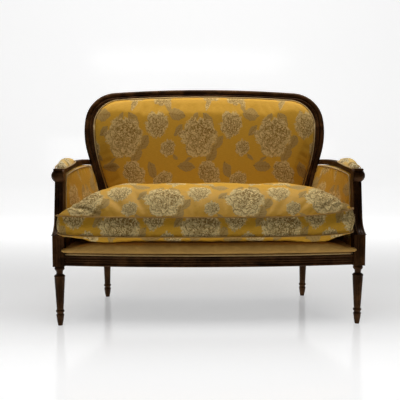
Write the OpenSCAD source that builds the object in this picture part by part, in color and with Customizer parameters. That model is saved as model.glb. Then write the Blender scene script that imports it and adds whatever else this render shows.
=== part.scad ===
// Two-seater sofa: an open show-wood frame with turned front legs, an upholstered back,
// sides and arms, and one loose seat cushion. Millimetres, +X to the right seen from
// the front, +Y to the back, +Z up, origin on the floor under the middle of the sofa.

/* [Overall] */
// Height of the crest rail above the floor
overall_height = 976; // [930:1:1020]
// Width over the widest part of the back frame
back_width = 1143; // [1100:1:1190]
// Height of the widest part of the back frame
shoulder_height = 784; // [765:1:800]
// Distance between the centres of the front legs
front_leg_spacing = 1179; // [1150:1:1220]
// Distance between the centres of the rear legs
rear_leg_spacing = 922; // [895:1:945]
// Depth from the front leg centres to the face of the back frame at the seat
frame_depth = 480; // [455:1:510]
// Depth from the front foot centres to the rear foot centres
foot_depth = 510; // [500:1:535]
// Rake of the back in degrees from upright
back_rake = 10.5; // [8:0.5:13]

/* [Legs] */
// Height of the legs up to the corner blocks
leg_height = 236; // [215:1:255]
// Side of the square front corner block
block_w = 45; // [42:1:48]
// Height of the upper part of the front corner block
block_h = 122; // [110:1:135]
// Side of the square block on the rear leg
rear_block_w = 38; // [34:1:44]
// Height of the block on the rear leg
rear_block_h = 76; // [60:1:90]
// Radius of the upper collar on a front leg
collar_r = 21.5; // [19:0.5:22]
// Radius of the upper collar on a rear leg
rear_collar_r = 18.5; // [17:0.5:19]
// Radius of the top bead, next to the block
top_bead_r = 19.5; // [17:0.5:21]
// Radius of the neck between the two upper beads
neck_r = 12.5; // [10:0.5:15]
// Radius of the shaft at the ankle
ankle_r = 13.3; // [11:0.1:14.5]
// Radius of the ankle bead
ankle_bead_r = 16.5; // [15:0.5:18]
// Radius of the foot where it meets the floor
toe_r = 9; // [7:0.5:12]
// Height of the foot below the ankle
foot_h = 44; // [36:1:52]
// Number of flutes round a front leg
leg_flutes = 12; // [8:1:14]
// Radius of a flute on the leg
leg_flute_r = 2; // [1.4:0.1:2.4]
// Radius of a groove on the corner block and the arm support
reed_groove_r = 2.4; // [1.6:0.1:3]
// Spacing of those grooves
reed_pitch = 10; // [8:0.5:12]

/* [Seat frame] */
// Height of a seat rail
rail_h = 42; // [36:1:46]
// Thickness of a seat rail
rail_t = 30; // [26:1:34]
// Height of the rails above the bottom of the corner blocks
rail_lift = 2; // [0:0.5:6]
// How far the front rail bows forward
rail_bow = 46; // [25:1:60]
// Setback of the front rail from the face of the corner block
rail_setback = 8; // [4:1:12]
// Thickness of a tenon
tenon_t = 10; // [8:1:12]
// Depth of the front and back rail tenons
tenon_depth = 20; // [14:1:22]
// Depth of the side rail tenons
side_tenon_depth = 9; // [6:1:12]
// Width of the seat brace
brace_w = 50; // [40:1:70]
// Thickness of the seat brace
brace_t = 22; // [18:1:28]
// Length of a corner glue block along the front and back rails
glue_block_l = 66; // [50:1:80]
// Radius of a screw in a glue block
screw_r = 2.5; // [2:0.1:3]

/* [Back frame] */
// Width of the back frame's moulding with its rebate
frame_w = 60; // [54:1:68]
// Thickness of the back frame
frame_t = 30; // [27:1:34]
// Radius of the outer bead on the back frame
frame_bead_r = 10.5; // [8:0.5:11.5]
// Depth of the rebate that the upholstery lies in
rebate_t = 8; // [6:0.5:9]
// Radius of the crest rail's long curve
crest_radius = 6000; // [4500:100:9000]
// Radius of the rounded shoulders
shoulder_radius = 150; // [130:1:165]
// Radius of the curved sides below the shoulders
side_radius = 381; // [330:1:450]
// Lean of the straight part of the posts, in degrees
post_lean = 16.3; // [14:0.1:18]
// Radius of the hollow curve just above the seat
hollow_radius = 420; // [320:10:460]
// Height of the lower back rail
low_rail_h = 40; // [30:1:46]
// Height of the lower back rail above the seat rails
low_rail_gap = 40; // [32:1:44]

/* [Arms] */
// Width of an arm support
support_w = 34; // [31:1:39]
// Thickness of an arm support, front to back
support_t = 38; // [32:1:42]
// How far an arm support stands out from the middle of its corner block
support_out = 8.5; // [6:0.5:10]
// Radius of the hollow sweep at the foot of the support
sweep_r = 80; // [66:1:90]
// Lean of the support above the sweep, in degrees
support_lean = 10; // [6:1:14]
// Height of the top of the arm at its scroll
arm_height = 616; // [590:1:640]
// Height of the middle of the arm where it meets the back post
arm_rear_height = 634; // [615:1:650]
// Thickness of the arm rail
arm_t = 24; // [20:1:28]
// Half width of the arm rail at the back post
arm_rear_half = 13; // [11:0.5:14]
// Radius of the scroll at the front of the arm
scroll_r = 25; // [22:0.5:28]
// How far the round boss of the scroll stands out
boss_out = 16; // [10:1:20]
// Thickness of the cap over the scroll
cap_t = 7; // [5:0.5:10]
// Half width of an arm pad
arm_pad_half = 27; // [24:0.5:29]
// Height of an arm pad over the arm
arm_pad_h = 27; // [18:1:34]
// Length of an arm pad
arm_pad_l = 200; // [160:1:215]
// Length of dowels
dowel_l = 44; // [36:1:50]
// Radius of dowels
dowel_r = 4.5; // [3.5:0.1:5]

/* [Upholstery] */
// Distance from the top of the frame to the edge of the back upholstery
sight_top = 34; // [33:0.5:38]
// Distance from the side of the frame to the edge of the back upholstery
sight_side = 43; // [40:0.5:46]
// Radius of the back upholstery at the shoulders
sight_shoulder_r = 128; // [120:1:136]
// Radius of the back upholstery at the sides
sight_side_r = 696; // [600:4:800]
// Crown of the back upholstery in front of the frame
back_crown = 32; // [18:1:40]
// Radius of piping
piping_r = 3.5; // [2.5:0.1:3.8]
// Thickness of webbing and thin covers
web_t = 1.5; // [1:0.1:1.6]
// Width of a webbing strap
web_w = 50; // [40:1:56]
// Height of the upholstered deck over the seat rails
deck_h = 54; // [44:1:60]
// Thickness of the side upholstery
side_pad_t = 18; // [14:1:20]
// Crown of the side upholstery
side_crown = 8; // [3:0.5:10]
// Thickness of the outside covers
cover_t = 3.4; // [2.4:0.1:3.8]
// Clearance between soft parts and what they lie against
soft_gap = 0.4; // [0.3:0.1:0.6]

/* [Seat cushion] */
// Reach of the cushion's left front corner from the middle
cushion_left = 599; // [590:1:610]
// Reach of the cushion's right front corner from the middle
cushion_right = 563; // [555:1:610]
// Height of the lower seam above the deck
seam_low = 24; // [18:1:30]
// Height of the boxing between the seams
boxing_h = 76; // [60:1:90]
// Height of the crown above the upper seam
cushion_crown = 106; // [70:1:120]
// How far the front edge of the cushion stands in front of the front leg centres
cushion_front = 42; // [36:1:50]
// How far the front edge bows forward in the middle
cushion_bow = 30; // [15:1:40]
// Radius of the cushion's piping
cushion_piping_r = 4; // [3:0.1:4.5]

/* [Hidden] */
$fn = 96;
wood = [0.17, 0.10, 0.07];
raw_wood = [0.62, 0.47, 0.32];
gold = [0.74, 0.57, 0.26];
pale_gold = [0.80, 0.66, 0.38];
jute = [0.66, 0.55, 0.40];
black_cloth = [0.12, 0.12, 0.12];
steel = [0.62, 0.62, 0.64];

// Clearance of a tenon in its mortise, and of a dowel in its hole
fit = 0.2;
// Overlap of cutting shapes past the faces they cut
cut = 1;
// Gap in a glued joint between two faces, and under the loose cushion
joint_gap = 0.1;
rest_gap = 0.3;

rail_z = leg_height + rail_lift;
rail_top = rail_z + rail_h;
block_top = leg_height + block_h;
leg_x = front_leg_spacing / 2;
rear_x = rear_leg_spacing / 2;
hinge_z = rail_z + rail_h / 2;

// Outline of the back frame in its own raked plane: u across, w up along the rake and
// t forward of the frame's face. It runs as four tangent curves and a straight.
crest_w = (overall_height - hinge_z + frame_bead_r * sin(back_rake)) / cos(back_rake);
wide_w = (shoulder_height - hinge_z) / cos(back_rake);
wide_u = back_width / 2;
foot_u = rear_x + rear_block_w / 2;

function unit(v) = v / norm(v);
function mix(a, b, k) = a + (b - a) * k;
function clamp01(k) = min(1, max(0, k));
function smooth(k) = let (c = clamp01(k)) c * c * (3 - 2 * c);
function polar(a, r = 1) = [r * cos(a), r * sin(a)];
// Number of facets for a curve of radius r
function fine(r) = max(120, ceil(r / 2));

// Centre of the circle of radius r that touches two larger circles from inside
function touching(c1, r1, c3, r3, r) =
  let (d1 = r1 - r, d3 = r3 - r, d = c3 - c1, l = norm(d),
       a = (d1 * d1 - d3 * d3 + l * l) / (2 * l), h = sqrt(d1 * d1 - a * a))
  c1 + d / l * a - h * [-d.y, d.x] / l;

crest_c = [0, crest_w - crest_radius];
side_c = [wide_u - side_radius, wide_w];
shoulder_c = touching(crest_c, crest_radius, side_c, side_radius, shoulder_radius);
crest_a = atan2(shoulder_c.y - crest_c.y, shoulder_c.x - crest_c.x);
shoulder_a = atan2(shoulder_c.y - side_c.y, shoulder_c.x - side_c.x);
straight_top = side_c + polar(-post_lean, side_radius);
lean_out = polar(-post_lean);
hollow_w = ((foot_u + hollow_radius) * lean_out.x - hollow_radius - straight_top * lean_out)
  / -lean_out.y;
hollow_c = [foot_u + hollow_radius, hollow_w];
straight_low = hollow_c - hollow_radius * lean_out;
straight_l = norm(straight_top - straight_low);

// Half width of the frame at height w along the rake, below the shoulders
function outer_u(w) =
  w < hollow_w ? foot_u :
  w < straight_low.y ? hollow_c.x - sqrt(pow(hollow_radius, 2) - pow(w - hollow_w, 2)) :
  w < straight_top.y ? straight_low.x + (w - straight_low.y) * tan(post_lean) :
  side_c.x + sqrt(pow(side_radius, 2) - pow(w - side_c.y, 2));

// A point of the back plane in the sofa's own frame
function back_point(u, w, t) = [
  u,
  frame_depth + w * sin(back_rake) - t * cos(back_rake),
  hinge_z + w * cos(back_rake) + t * sin(back_rake)
];
// Depth of the face of the back frame at height z, and the distance w to that height
function back_w(z) = (z - hinge_z) / cos(back_rake);
function back_face_y(z) = frame_depth + (z - hinge_z) * tan(back_rake);

// Bowed front rail: a circle through the two block faces
bow_half = leg_x - block_w / 2;
bow_end_y = -block_w / 2 + rail_setback;
bow_r = (bow_half * bow_half + rail_bow * rail_bow) / (2 * rail_bow);
bow_c = [0, bow_end_y - rail_bow + bow_r];
bow_a = asin(bow_half / bow_r);
function bow_y(x, inset = 0) = bow_c.y - sqrt(pow(bow_r - inset, 2) - x * x);

// Side rails run from the front blocks to the rear blocks
side_from = [leg_x, block_w / 2];
side_to = [rear_x, frame_depth];
side_turn = atan2(side_from.x - side_to.x, side_to.y - side_from.y);
side_l = norm(side_to - side_from);
function side_rail_x(y) = mix(side_from.x, side_to.x, (y - side_from.y) / (side_to.y - side_from.y));
back_rail_y = frame_depth + rear_block_w / 2;
brace_end_y = back_rail_y - rail_t / 2;

// Arm support, as a curve in the plane of Y and Z
support_x = leg_x + support_out;
sweep_c = [-block_w / 2 - 15.5, block_top + sweep_r];
scroll_z = arm_height - cap_t / 2 - scroll_r;
support_top = scroll_z - scroll_r - joint_gap;
sweep_end_z = sweep_c.y - sweep_r * sin(support_lean);
support_front = sweep_c.x + sweep_r * cos(support_lean) + (support_top - sweep_end_z) * tan(support_lean);
sweep_outer = sweep_r + support_t;
sweep_outer_z = sweep_c.y - sweep_outer * sin(support_lean);
support_rear = sweep_c.x + sweep_outer * cos(support_lean)
  + (support_top - sweep_outer_z) * tan(support_lean);
scroll_y = support_front - 1;
arm_block_rear = support_rear;
cap_rear = scroll_y + 11;
// Depth of the rear face of the block and the support at height z
function support_rear_y(z) =
  let (drop = sweep_c.y - z, arc = drop < sweep_outer ? sqrt(pow(sweep_outer, 2) - pow(max(drop, 0), 2)) : 0)
  z > sweep_outer_z ? sweep_c.x + sweep_outer * cos(support_lean)
      + (z - sweep_outer_z) * tan(support_lean) :
  max(block_w / 2, sweep_c.x + arc);
// Height of the front face of the sweep at depth y
function sweep_front_z(y) =
  let (run = min(y - sweep_c.x, sweep_r * cos(support_lean)))
  sweep_c.y - sqrt(max(0, sweep_r * sweep_r - run * run));

// Middle line of an arm rail, from its front block to the back post
arm_end_w = back_w(arm_rear_height);
arm_end = back_point(outer_u(arm_end_w), arm_end_w, -frame_t * 0.55);
arm_line = [
  [support_x + 1.5, cap_rear - 6, arm_height - cap_t - arm_t / 2],
  [support_x - 12, mix(cap_rear, arm_end.y, 0.38), arm_rear_height + 1],
  [arm_end.x + 36, mix(cap_rear, arm_end.y, 0.82), arm_rear_height + 5],
  arm_end - [8, -10, 0]
];
function bezier(p, k) =
  p[0] * pow(1 - k, 3) + p[1] * 3 * k * pow(1 - k, 2) + p[2] * 3 * k * k * (1 - k) + p[3] * pow(k, 3);
function arm_at(k) = bezier(arm_line, k);
function arm_dir(k) = unit(arm_at(min(1, k + 0.01)) - arm_at(max(0, k - 0.01)));
function arm_half(k) = mix(support_w / 2, arm_rear_half, smooth(k));
// Where the arm passes depth y, found by halving
function arm_k(y, lo = 0, hi = 1, n = 14) =
  let (m = (lo + hi) / 2) n == 0 ? m : arm_at(m).y < y ? arm_k(y, m, hi, n - 1) : arm_k(y, lo, m, n - 1);

// Joins rings of points into one closed solid, with a fan over each end. Each ring runs
// anticlockwise as seen from the last ring.
module loft(rings) {
  n = len(rings[0]);
  m = len(rings);
  centre = function (r) [for (a = [0 : 2]) [for (p = r) p[a]] * [for (p = r) 1] / n];
  points = concat([for (r = rings) each r], [centre(rings[0]), centre(rings[m - 1])]);
  faces = concat(
    [for (i = [0 : m - 2], j = [0 : n - 1])
      let (k = (j + 1) % n, a = i * n + j, b = i * n + k, c = b + n, d = a + n)
      each [[a, d, c], [a, c, b]]],
    [for (j = [0 : n - 1]) [n * m, j, (j + 1) % n]],
    [for (j = [0 : n - 1]) [n * m + 1, (m - 1) * n + (j + 1) % n, (m - 1) * n + j]]
  );
  polyhedron(points, faces, convexity = 6);
}

// A thin shell between two grids of points, the first one facing the sitter
module shell(inner, outer) {
  rows = len(inner);
  cols = len(inner[0]);
  last = rows * cols;
  points = concat([for (r = inner) each r], [for (r = outer) each r]);
  at = function (s, i, j) s * last + i * cols + j;
  quad = function (a, b, c, d) [[a, b, c], [a, c, d]];
  faces = concat(
    [for (i = [0 : rows - 2], j = [0 : cols - 2])
      each quad(at(0, i, j), at(0, i + 1, j), at(0, i + 1, j + 1), at(0, i, j + 1))],
    [for (i = [0 : rows - 2], j = [0 : cols - 2])
      each quad(at(1, i, j), at(1, i, j + 1), at(1, i + 1, j + 1), at(1, i + 1, j))],
    [for (i = [0 : rows - 2]) each quad(at(0, i, 0), at(1, i, 0), at(1, i + 1, 0), at(0, i + 1, 0))],
    [for (i = [0 : rows - 2])
      each quad(at(0, i, cols - 1), at(0, i + 1, cols - 1), at(1, i + 1, cols - 1), at(1, i, cols - 1))],
    [for (j = [0 : cols - 2]) each quad(at(0, 0, j), at(0, 0, j + 1), at(1, 0, j + 1), at(1, 0, j))],
    [for (j = [0 : cols - 2])
      each quad(at(0, rows - 1, j), at(1, rows - 1, j), at(1, rows - 1, j + 1), at(0, rows - 1, j + 1))]
  );
  polyhedron(points, faces, convexity = 6);
}

// Ring of a tube round one point of a path that runs along d, with up as its reference
function tube_ring(p, d, up, r, sides) =
  let (side = unit(cross(up, d)), top = cross(d, side))
  [for (i = [0 : sides - 1]) p + r * (side * cos(i * 360 / sides) + top * sin(i * 360 / sides))];

// A piping cord along a path, open with closed ends, or closed on itself
module cord(path, r, up = [0, 0, 1], sides = 6, closed = false) {
  n = len(path);
  dir = function (i) closed ? unit(path[(i + 1) % n] - path[(i + n - 1) % n])
    : unit(path[min(n - 1, i + 1)] - path[max(0, i - 1)]);
  rings = [for (i = [0 : n - 1]) tube_ring(path[i], dir(i), up, r, sides)];
  if (closed) {
    faces = [for (i = [0 : n - 1], j = [0 : sides - 1])
      let (i2 = (i + 1) % n, j2 = (j + 1) % sides)
      let (a = i * sides + j, b = i * sides + j2, c = i2 * sides + j2, d = i2 * sides + j)
      each [[a, d, c], [a, c, b]]];
    polyhedron([for (ring = rings) each ring], faces, convexity = 8);
  } else {
    loft(rings);
  }
}

// Moves the sofa so that its middle stands over the origin. Piping stands out of the seams.
piping_out = cushion_piping_r + 2 * soft_gap;
front_reach = cushion_front + cushion_bow + piping_out + cushion_piping_r;
rear_reach = frame_depth + crest_w * sin(back_rake) + frame_t * cos(back_rake);
middle_y = (rear_reach - front_reach) / 2;
module placed() { translate([0, -middle_y, 0]) children(); }
module mirrored(side) { if (side > 0) children(); else mirror([1, 0, 0]) children(); }
module both_sides() { for (side = [-1, 1]) mirrored(side) children(); }
module in_back_plane() { translate([0, frame_depth, hinge_z]) rotate([90 - back_rake, 0, 0]) children(); }
module profile_yz(x0, x1) { translate([x0, 0, 0]) rotate([90, 0, 90]) linear_extrude(x1 - x0) children(); }
module box(low, high) { translate(low) cube(high - low); }

// Section of the back frame: x inward from its outer edge, y forward of its face
ridge_r = 4;
ridge_s = 2 * frame_bead_r + 8;
rear_rebate_s = 38;
rear_rebate_t = 4;
rear_chamfer = 3;
// Neighbouring lengths of the frame overlap a little, one of them a hair thicker
lap = 0.6;
grow = 0.06;
module frame_section(g = 0) {
  difference() {
    union() {
      polygon([[-g, -frame_bead_r], [-g, rear_chamfer - frame_t], [rear_chamfer - g, -frame_t - g],
        [frame_w + g, -frame_t - g], [frame_w + g, g - rebate_t], [ridge_s - ridge_r - g, g - rebate_t],
        [ridge_s - ridge_r - g, g - frame_bead_r], [frame_bead_r, g - frame_bead_r]]);
      translate([frame_bead_r, -frame_bead_r]) circle(frame_bead_r + g);
      translate([ridge_s, -rebate_t + 2]) circle(ridge_r + g);
    }
    translate([rear_rebate_s + g, -frame_t - cut]) square([frame_w, rear_rebate_t + cut - g]);
  }
}

// The frame section swept round an outer curve of radius r, and along a straight
module frame_arc(centre, r, from, to, g = 0) {
  translate(centre) rotate_extrude(angle = to - from, start = from, $fn = fine(r))
    translate([r, 0]) mirror([1, 0]) frame_section(g);
}
module frame_straight(low, length, lean) {
  translate(low) rotate([0, 0, 180 - lean]) translate([0, lap, 0]) rotate([90, 0, 0])
    linear_extrude(length + 2 * lap) frame_section();
}

module crest_dowel_set(r, l) {
  for (s = [13, frame_w - 16])
    translate([wide_u - s, wide_w - l / 2, -frame_t * 0.62]) rotate([-90, 0, 0]) cylinder(h = l, r = r);
}

module crest_rail() {
  color(wood) placed() in_back_plane() difference() {
    union() {
      turn = asin(lap / shoulder_radius);
      frame_arc(crest_c, crest_radius, crest_a, 180 - crest_a, grow);
      both_sides() frame_arc(shoulder_c, shoulder_radius, shoulder_a - turn, crest_a + turn);
      both_sides() frame_arc(side_c, side_radius, asin(joint_gap / side_radius), shoulder_a, grow);
    }
    both_sides() crest_dowel_set(dowel_r + fit / 2, dowel_l);
  }
}
module crest_dowels() { color(raw_wood) placed() in_back_plane() both_sides() crest_dowel_set(dowel_r, dowel_l - 2); }

// Turned leg standing on its toe, up to height h, with beads at the ankle and the top
module turned_leg(h, collar, toe) {
  bead = 7;
  collar_bead = 5.5;
  top_bead = top_bead_r * 0.48;
  rotate_extrude() {
    polygon([[0, 0], [toe, 0], [toe + 3.6, foot_h * 0.45], [ankle_bead_r - 0.9, foot_h - 2],
      [ankle_bead_r - 1.6, foot_h], [ankle_r - 0.6, foot_h + 2], [ankle_r - 0.6, foot_h + 6],
      [ankle_r, foot_h + 21], [collar - 1, h - 46], [collar - 3, h - 44], [collar - 3.4, h - 35],
      [neck_r, h - 31], [neck_r, h - 26], [top_bead_r - 6, h - 20], [top_bead_r - 3, h - 3],
      [top_bead_r - 3, h + 2], [0, h + 2]]);
    translate([ankle_bead_r - bead, foot_h + 6 + bead]) circle(bead);
    translate([collar - collar_bead, h - 46 + collar_bead]) circle(collar_bead);
    translate([top_bead_r - top_bead, h - top_bead]) circle(top_bead);
  }
}

// Tapering flutes cut round the shaft of a front leg
module shaft_flutes() {
  low = foot_h + 30;
  high = leg_height - 52;
  taper = atan2(collar_r - 1 - ankle_r, leg_height - 46 - foot_h - 21);
  for (i = [0 : leg_flutes - 1]) rotate(i * 360 / leg_flutes)
    translate([ankle_r + 0.5, 0, low]) rotate([0, taper, 0]) {
      cylinder(h = high - low, r = leg_flute_r, $fn = 24);
      sphere(leg_flute_r, $fn = 24);
      translate([0, 0, high - low]) sphere(leg_flute_r, $fn = 24);
    }
}

// A round-ended upright groove, open at the origin's side
module groove(low, high) {
  translate([0, 0, low]) cylinder(h = high - low, r = reed_groove_r, $fn = 24);
  for (z = [low, high]) translate([0, 0, z]) sphere(reed_groove_r, $fn = 24);
}

module tenon_box(x0, x1, y0, y1, grow) {
  box([x0 - grow, y0 - grow, rail_z + 8 - grow], [x1 + grow, y1 + grow, rail_top - 8 + grow]);
}
module front_tenon(grow = 0) {
  mid = bow_end_y + rail_t / 2;
  tenon_box(bow_half - cut, bow_half + tenon_depth, mid - tenon_t / 2, mid + tenon_t / 2, grow);
}
module back_tenon(grow = 0) {
  inner = rear_x - rear_block_w / 2;
  tenon_box(inner - cut, inner + tenon_depth - 4, back_rail_y - tenon_t / 2 + 5,
    back_rail_y + tenon_t / 2 + 5, grow);
}
module side_tenon(grow = 0) {
  translate([side_from.x, side_from.y, 0]) rotate(side_turn)
    tenon_box(-tenon_t / 2, tenon_t / 2, -side_tenon_depth, side_l + side_tenon_depth, grow);
}

module leg_profile_2d() {
  square_low = [-block_w / 2, leg_height];
  translate(square_low) square([block_w, block_h]);
  intersection() {
    difference() {
      translate(sweep_c) circle(sweep_outer);
      translate(sweep_c) circle(sweep_r);
    }
    translate([0, leg_height]) square([sweep_outer, block_h]);
  }
}

// Section of the arm support: x forward to back from its front face, y across, with reeds
module support_section(r0, g = 0) {
  difference() {
    translate([r0 - g, -support_w / 2 - g]) square([support_t + 2 * g, support_w + 2 * g]);
    for (k = [-1 : 1]) translate([r0, k * reed_pitch]) circle(reed_groove_r - g, $fn = 32);
  }
}

module support_tenons(grow = 0) {
  box([support_x - 8 - grow, -9 - grow, block_top - 30 - grow],
      [support_x + 8 + grow, 11 + grow, block_top + cut]);
  mid = (support_front + support_rear) / 2;
  box([support_x - 8 - grow, mid - 9 - grow, support_top - cut],
      [support_x + 8 + grow, mid + 9 + grow, support_top + 20 + grow]);
}

module front_leg(side) {
  color(wood) placed() mirrored(side) difference() {
    union() {
      translate([leg_x, 0, 0]) turned_leg(leg_height, collar_r, toe_r);
      profile_yz(leg_x - block_w / 2, leg_x + block_w / 2) leg_profile_2d();
    }
    translate([leg_x, 0, 0]) shaft_flutes();
    for (k = [-1 : 1]) {
      translate([leg_x + k * reed_pitch, -block_w / 2, 0]) groove(leg_height + 12, block_top - 10);
      translate([leg_x + block_w / 2, k * reed_pitch, 0]) groove(leg_height + 12, block_top - 10);
    }
    front_tenon(fit);
    side_tenon(fit);
    support_tenons(fit);
  }
}
module front_leg_left() { front_leg(-1); }
module front_leg_right() { front_leg(1); }

// Rear leg and raked post in one length of wood
module arm_dowel_solid(r, l) {
  in_back_plane() translate([arm_end.x, arm_end_w, -frame_t * 0.55])
    rotate([0, 0, -post_lean]) rotate([0, 90, 0]) translate([0, 0, -l / 2]) cylinder(h = l, r = r, $fn = 32);
}
module low_rail_tenon(grow = 0) {
  w = low_rail_gap + rail_h / 2;
  box([foot_u - frame_w - cut, w + 8 - grow, -22 - grow],
      [foot_u - frame_w + 15 + grow, w + low_rail_h - 8 + grow, -12 + grow]);
}
module back_post(side) {
  top_y = frame_depth + rear_block_w / 2;
  rake = atan2(foot_depth - top_y, leg_height);
  stile_low = back_w(rail_top + joint_gap) + frame_t * tan(back_rake) + 2 * lap;
  color(wood) placed() mirrored(side) difference() {
    union() {
      in_back_plane() {
        frame_arc(side_c, side_radius, -post_lean, 0, grow);
        frame_straight(straight_low, straight_l, post_lean);
        translate(hollow_c) rotate_extrude(angle = post_lean, start = 180 - post_lean, $fn = fine(hollow_radius))
          translate([hollow_radius, 0]) frame_section(grow);
        frame_straight([foot_u, stile_low], hollow_w - stile_low, 0);
      }
      box([rear_x - rear_block_w / 2, frame_depth, leg_height],
          [rear_x + rear_block_w / 2, frame_depth + rear_block_w, leg_height + rear_block_h]);
      translate([rear_x, foot_depth, 0]) rotate([rake, 0, 0])
        translate([0, 0, -2]) turned_leg(leg_height / cos(rake) + 4, rear_collar_r, toe_r);
    }
    box([0, foot_depth - 100, -20], [2 * rear_x, foot_depth + 100, 0]);
    back_tenon(fit);
    side_tenon(fit);
    in_back_plane() low_rail_tenon(fit);
    in_back_plane() crest_dowel_set(dowel_r + fit / 2, dowel_l);
    arm_dowel_solid(dowel_r + fit / 2, dowel_l);
  }
}
module back_post_left() { back_post(-1); }
module back_post_right() { back_post(1); }

module lower_back_rail() {
  w = low_rail_gap + rail_h / 2;
  inner_u = foot_u - frame_w;
  color(raw_wood) placed() in_back_plane() {
    box([-inner_u, w, rear_rebate_t - frame_t], [inner_u, w + low_rail_h, -rebate_t]);
    both_sides() low_rail_tenon();
  }
}

// Section of a seat rail: x out to its face, y up. Beads above and below, reeds between.
module rail_section() {
  face = 4;
  translate([-rail_t, 0]) square([rail_t - face, rail_h]);
  translate([-4.5, rail_h - 4.5]) circle(4.5);
  translate([-5, 5]) circle(5);
  for (z = [rail_h * 0.4, rail_h * 0.6]) translate([-4.5, z]) circle(3.2);
}

module seat_rail_front() {
  color(wood) placed() difference() {
    union() {
      intersection() {
        translate([0, bow_c.y, rail_z])
          rotate_extrude(angle = 2 * bow_a + 2, start = 269 - bow_a, $fn = fine(bow_r))
          translate([bow_r, 0]) rail_section();
        box([-bow_half, -500, 0], [bow_half, 500, rail_top + cut]);
      }
      both_sides() front_tenon();
    }
    both_sides() front_screws(screw_r);
  }
}

module seat_rail_side(side) {
  color(wood) placed() mirrored(side) {
    intersection() {
      translate([side_from.x, side_from.y, rail_z]) rotate(side_turn)
        translate([rail_t / 2, side_l + 20, 0]) rotate([90, 0, 0]) linear_extrude(side_l + 40) rail_section();
      box([0, block_w / 2, 0], [2 * leg_x, frame_depth, rail_top + cut]);
    }
    side_tenon();
  }
}
module seat_rail_left() { seat_rail_side(-1); }
module seat_rail_right() { seat_rail_side(1); }

module seat_rail_back() {
  half = rear_x - rear_block_w / 2;
  color(raw_wood) placed() difference() {
    union() {
      box([-half, brace_end_y, rail_z], [half, brace_end_y + rail_t, rail_top]);
      both_sides() back_tenon();
    }
    both_sides() rear_screws(screw_r);
  }
}

module seat_brace() {
  color(raw_wood) placed()
    box([-brace_w / 2, bow_y(0, rail_t) + soft_gap, rail_z + 2], [brace_w / 2, brace_end_y, rail_z + 2 + brace_t]);
}

// Glue blocks fill the four corners of the seat frame between two rails
glue_low = rail_z + 3;
glue_high = rail_top - 4;
front_glue_x = bow_half - soft_gap;
rear_glue_x = rear_x - rear_block_w / 2 - soft_gap;
module front_glue_block() {
  x0 = front_glue_x - glue_block_l;
  rear_y = block_w / 2 + 52;
  inner = rail_t / 2 / cos(side_turn) + soft_gap;
  translate([0, 0, glue_low]) linear_extrude(glue_high - glue_low)
    polygon([[x0, bow_y(x0, rail_t) + soft_gap], [front_glue_x, bow_y(front_glue_x, rail_t) + soft_gap],
      [front_glue_x, block_w / 2 + soft_gap], [side_rail_x(block_w / 2) - inner - 0.2, block_w / 2 + soft_gap],
      [side_rail_x(rear_y) - inner, rear_y], [x0 + 14, bow_y(x0, rail_t) + 12]]);
}
module rear_glue_block() {
  x0 = rear_glue_x - glue_block_l;
  front_y = frame_depth - 46;
  inner = rail_t / 2 / cos(side_turn) + soft_gap;
  translate([0, 0, glue_low]) linear_extrude(glue_high - glue_low)
    polygon([[x0, brace_end_y], [rear_glue_x, brace_end_y], [rear_glue_x, frame_depth - soft_gap],
      [side_rail_x(frame_depth) - inner, frame_depth - soft_gap], [side_rail_x(front_y) - inner, front_y],
      [x0 + 12, brace_end_y - 14]]);
}
module screw(r, l) {
  cylinder(h = l, r = r, $fn = 24);
  translate([0, 0, -2]) cylinder(h = 2, r = 2 * r, $fn = 24);
}
screw_l = 46;
screw_zs = [glue_low + 9, glue_high - 9];
module front_screws(r) {
  x = front_glue_x - 22;
  for (z = screw_zs) translate([x, bow_y(x, rail_t) + soft_gap + 28, z]) rotate([90, 0, 0]) screw(r, screw_l);
}
module rear_screws(r) {
  x = rear_glue_x - 18;
  for (z = screw_zs) translate([x, brace_end_y - 26, z]) rotate([-90, 0, 0]) screw(r, screw_l);
}
module corner_glue_blocks() {
  color(raw_wood) placed() both_sides() {
    difference() {
      front_glue_block();
      front_screws(screw_r);
      translate([0, 28, 0]) front_screws(2 * screw_r + fit);
    }
    difference() {
      rear_glue_block();
      rear_screws(screw_r);
      translate([0, -28, 0]) rear_screws(2 * screw_r + fit);
    }
  }
}
module corner_screws() {
  color(steel) placed() both_sides() {
    front_screws(screw_r - 0.05);
    rear_screws(screw_r - 0.05);
  }
}

module arm_support(side) {
  rise = (support_top - sweep_end_z) / cos(support_lean) + support_t;
  color(wood) placed() mirrored(side) {
    intersection() {
      translate([support_x, sweep_c.x, sweep_c.y]) rotate([90, 0, 90]) {
        rotate_extrude(angle = 95 - support_lean, start = 265) support_section(sweep_r);
        rotate(-support_lean) translate([0, rise, 0]) rotate([90, 0, 0])
          linear_extrude(rise + lap) support_section(sweep_r, grow);
      }
      box([0, -block_w / 2, block_top], [2 * leg_x, frame_depth, support_top]);
    }
    support_tenons();
  }
}
module arm_support_left() { arm_support(-1); }
module arm_support_right() { arm_support(1); }

// Section of the arm rail: rounded at its upper edges, with small lower rounds
function arm_section(half) =
  let (h = arm_t / 2, r = 7, q = 3)
  [[-half + q, -h], [half - q, -h], [half, -h + q], [half, h - r], [half - 2, h - 2.6],
   [half - r, h], [-half + r, h], [-half + 2, h - 2.6], [-half, h - r], [-half, -h + q]];
arm_steps = 22;
function arm_ring(k) =
  let (d = arm_dir(k), side = unit(cross([0, 0, 1], d)), up = cross(d, side))
  [for (q = arm_section(arm_half(k))) arm_at(k) + side * q.x + up * q.y];

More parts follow.
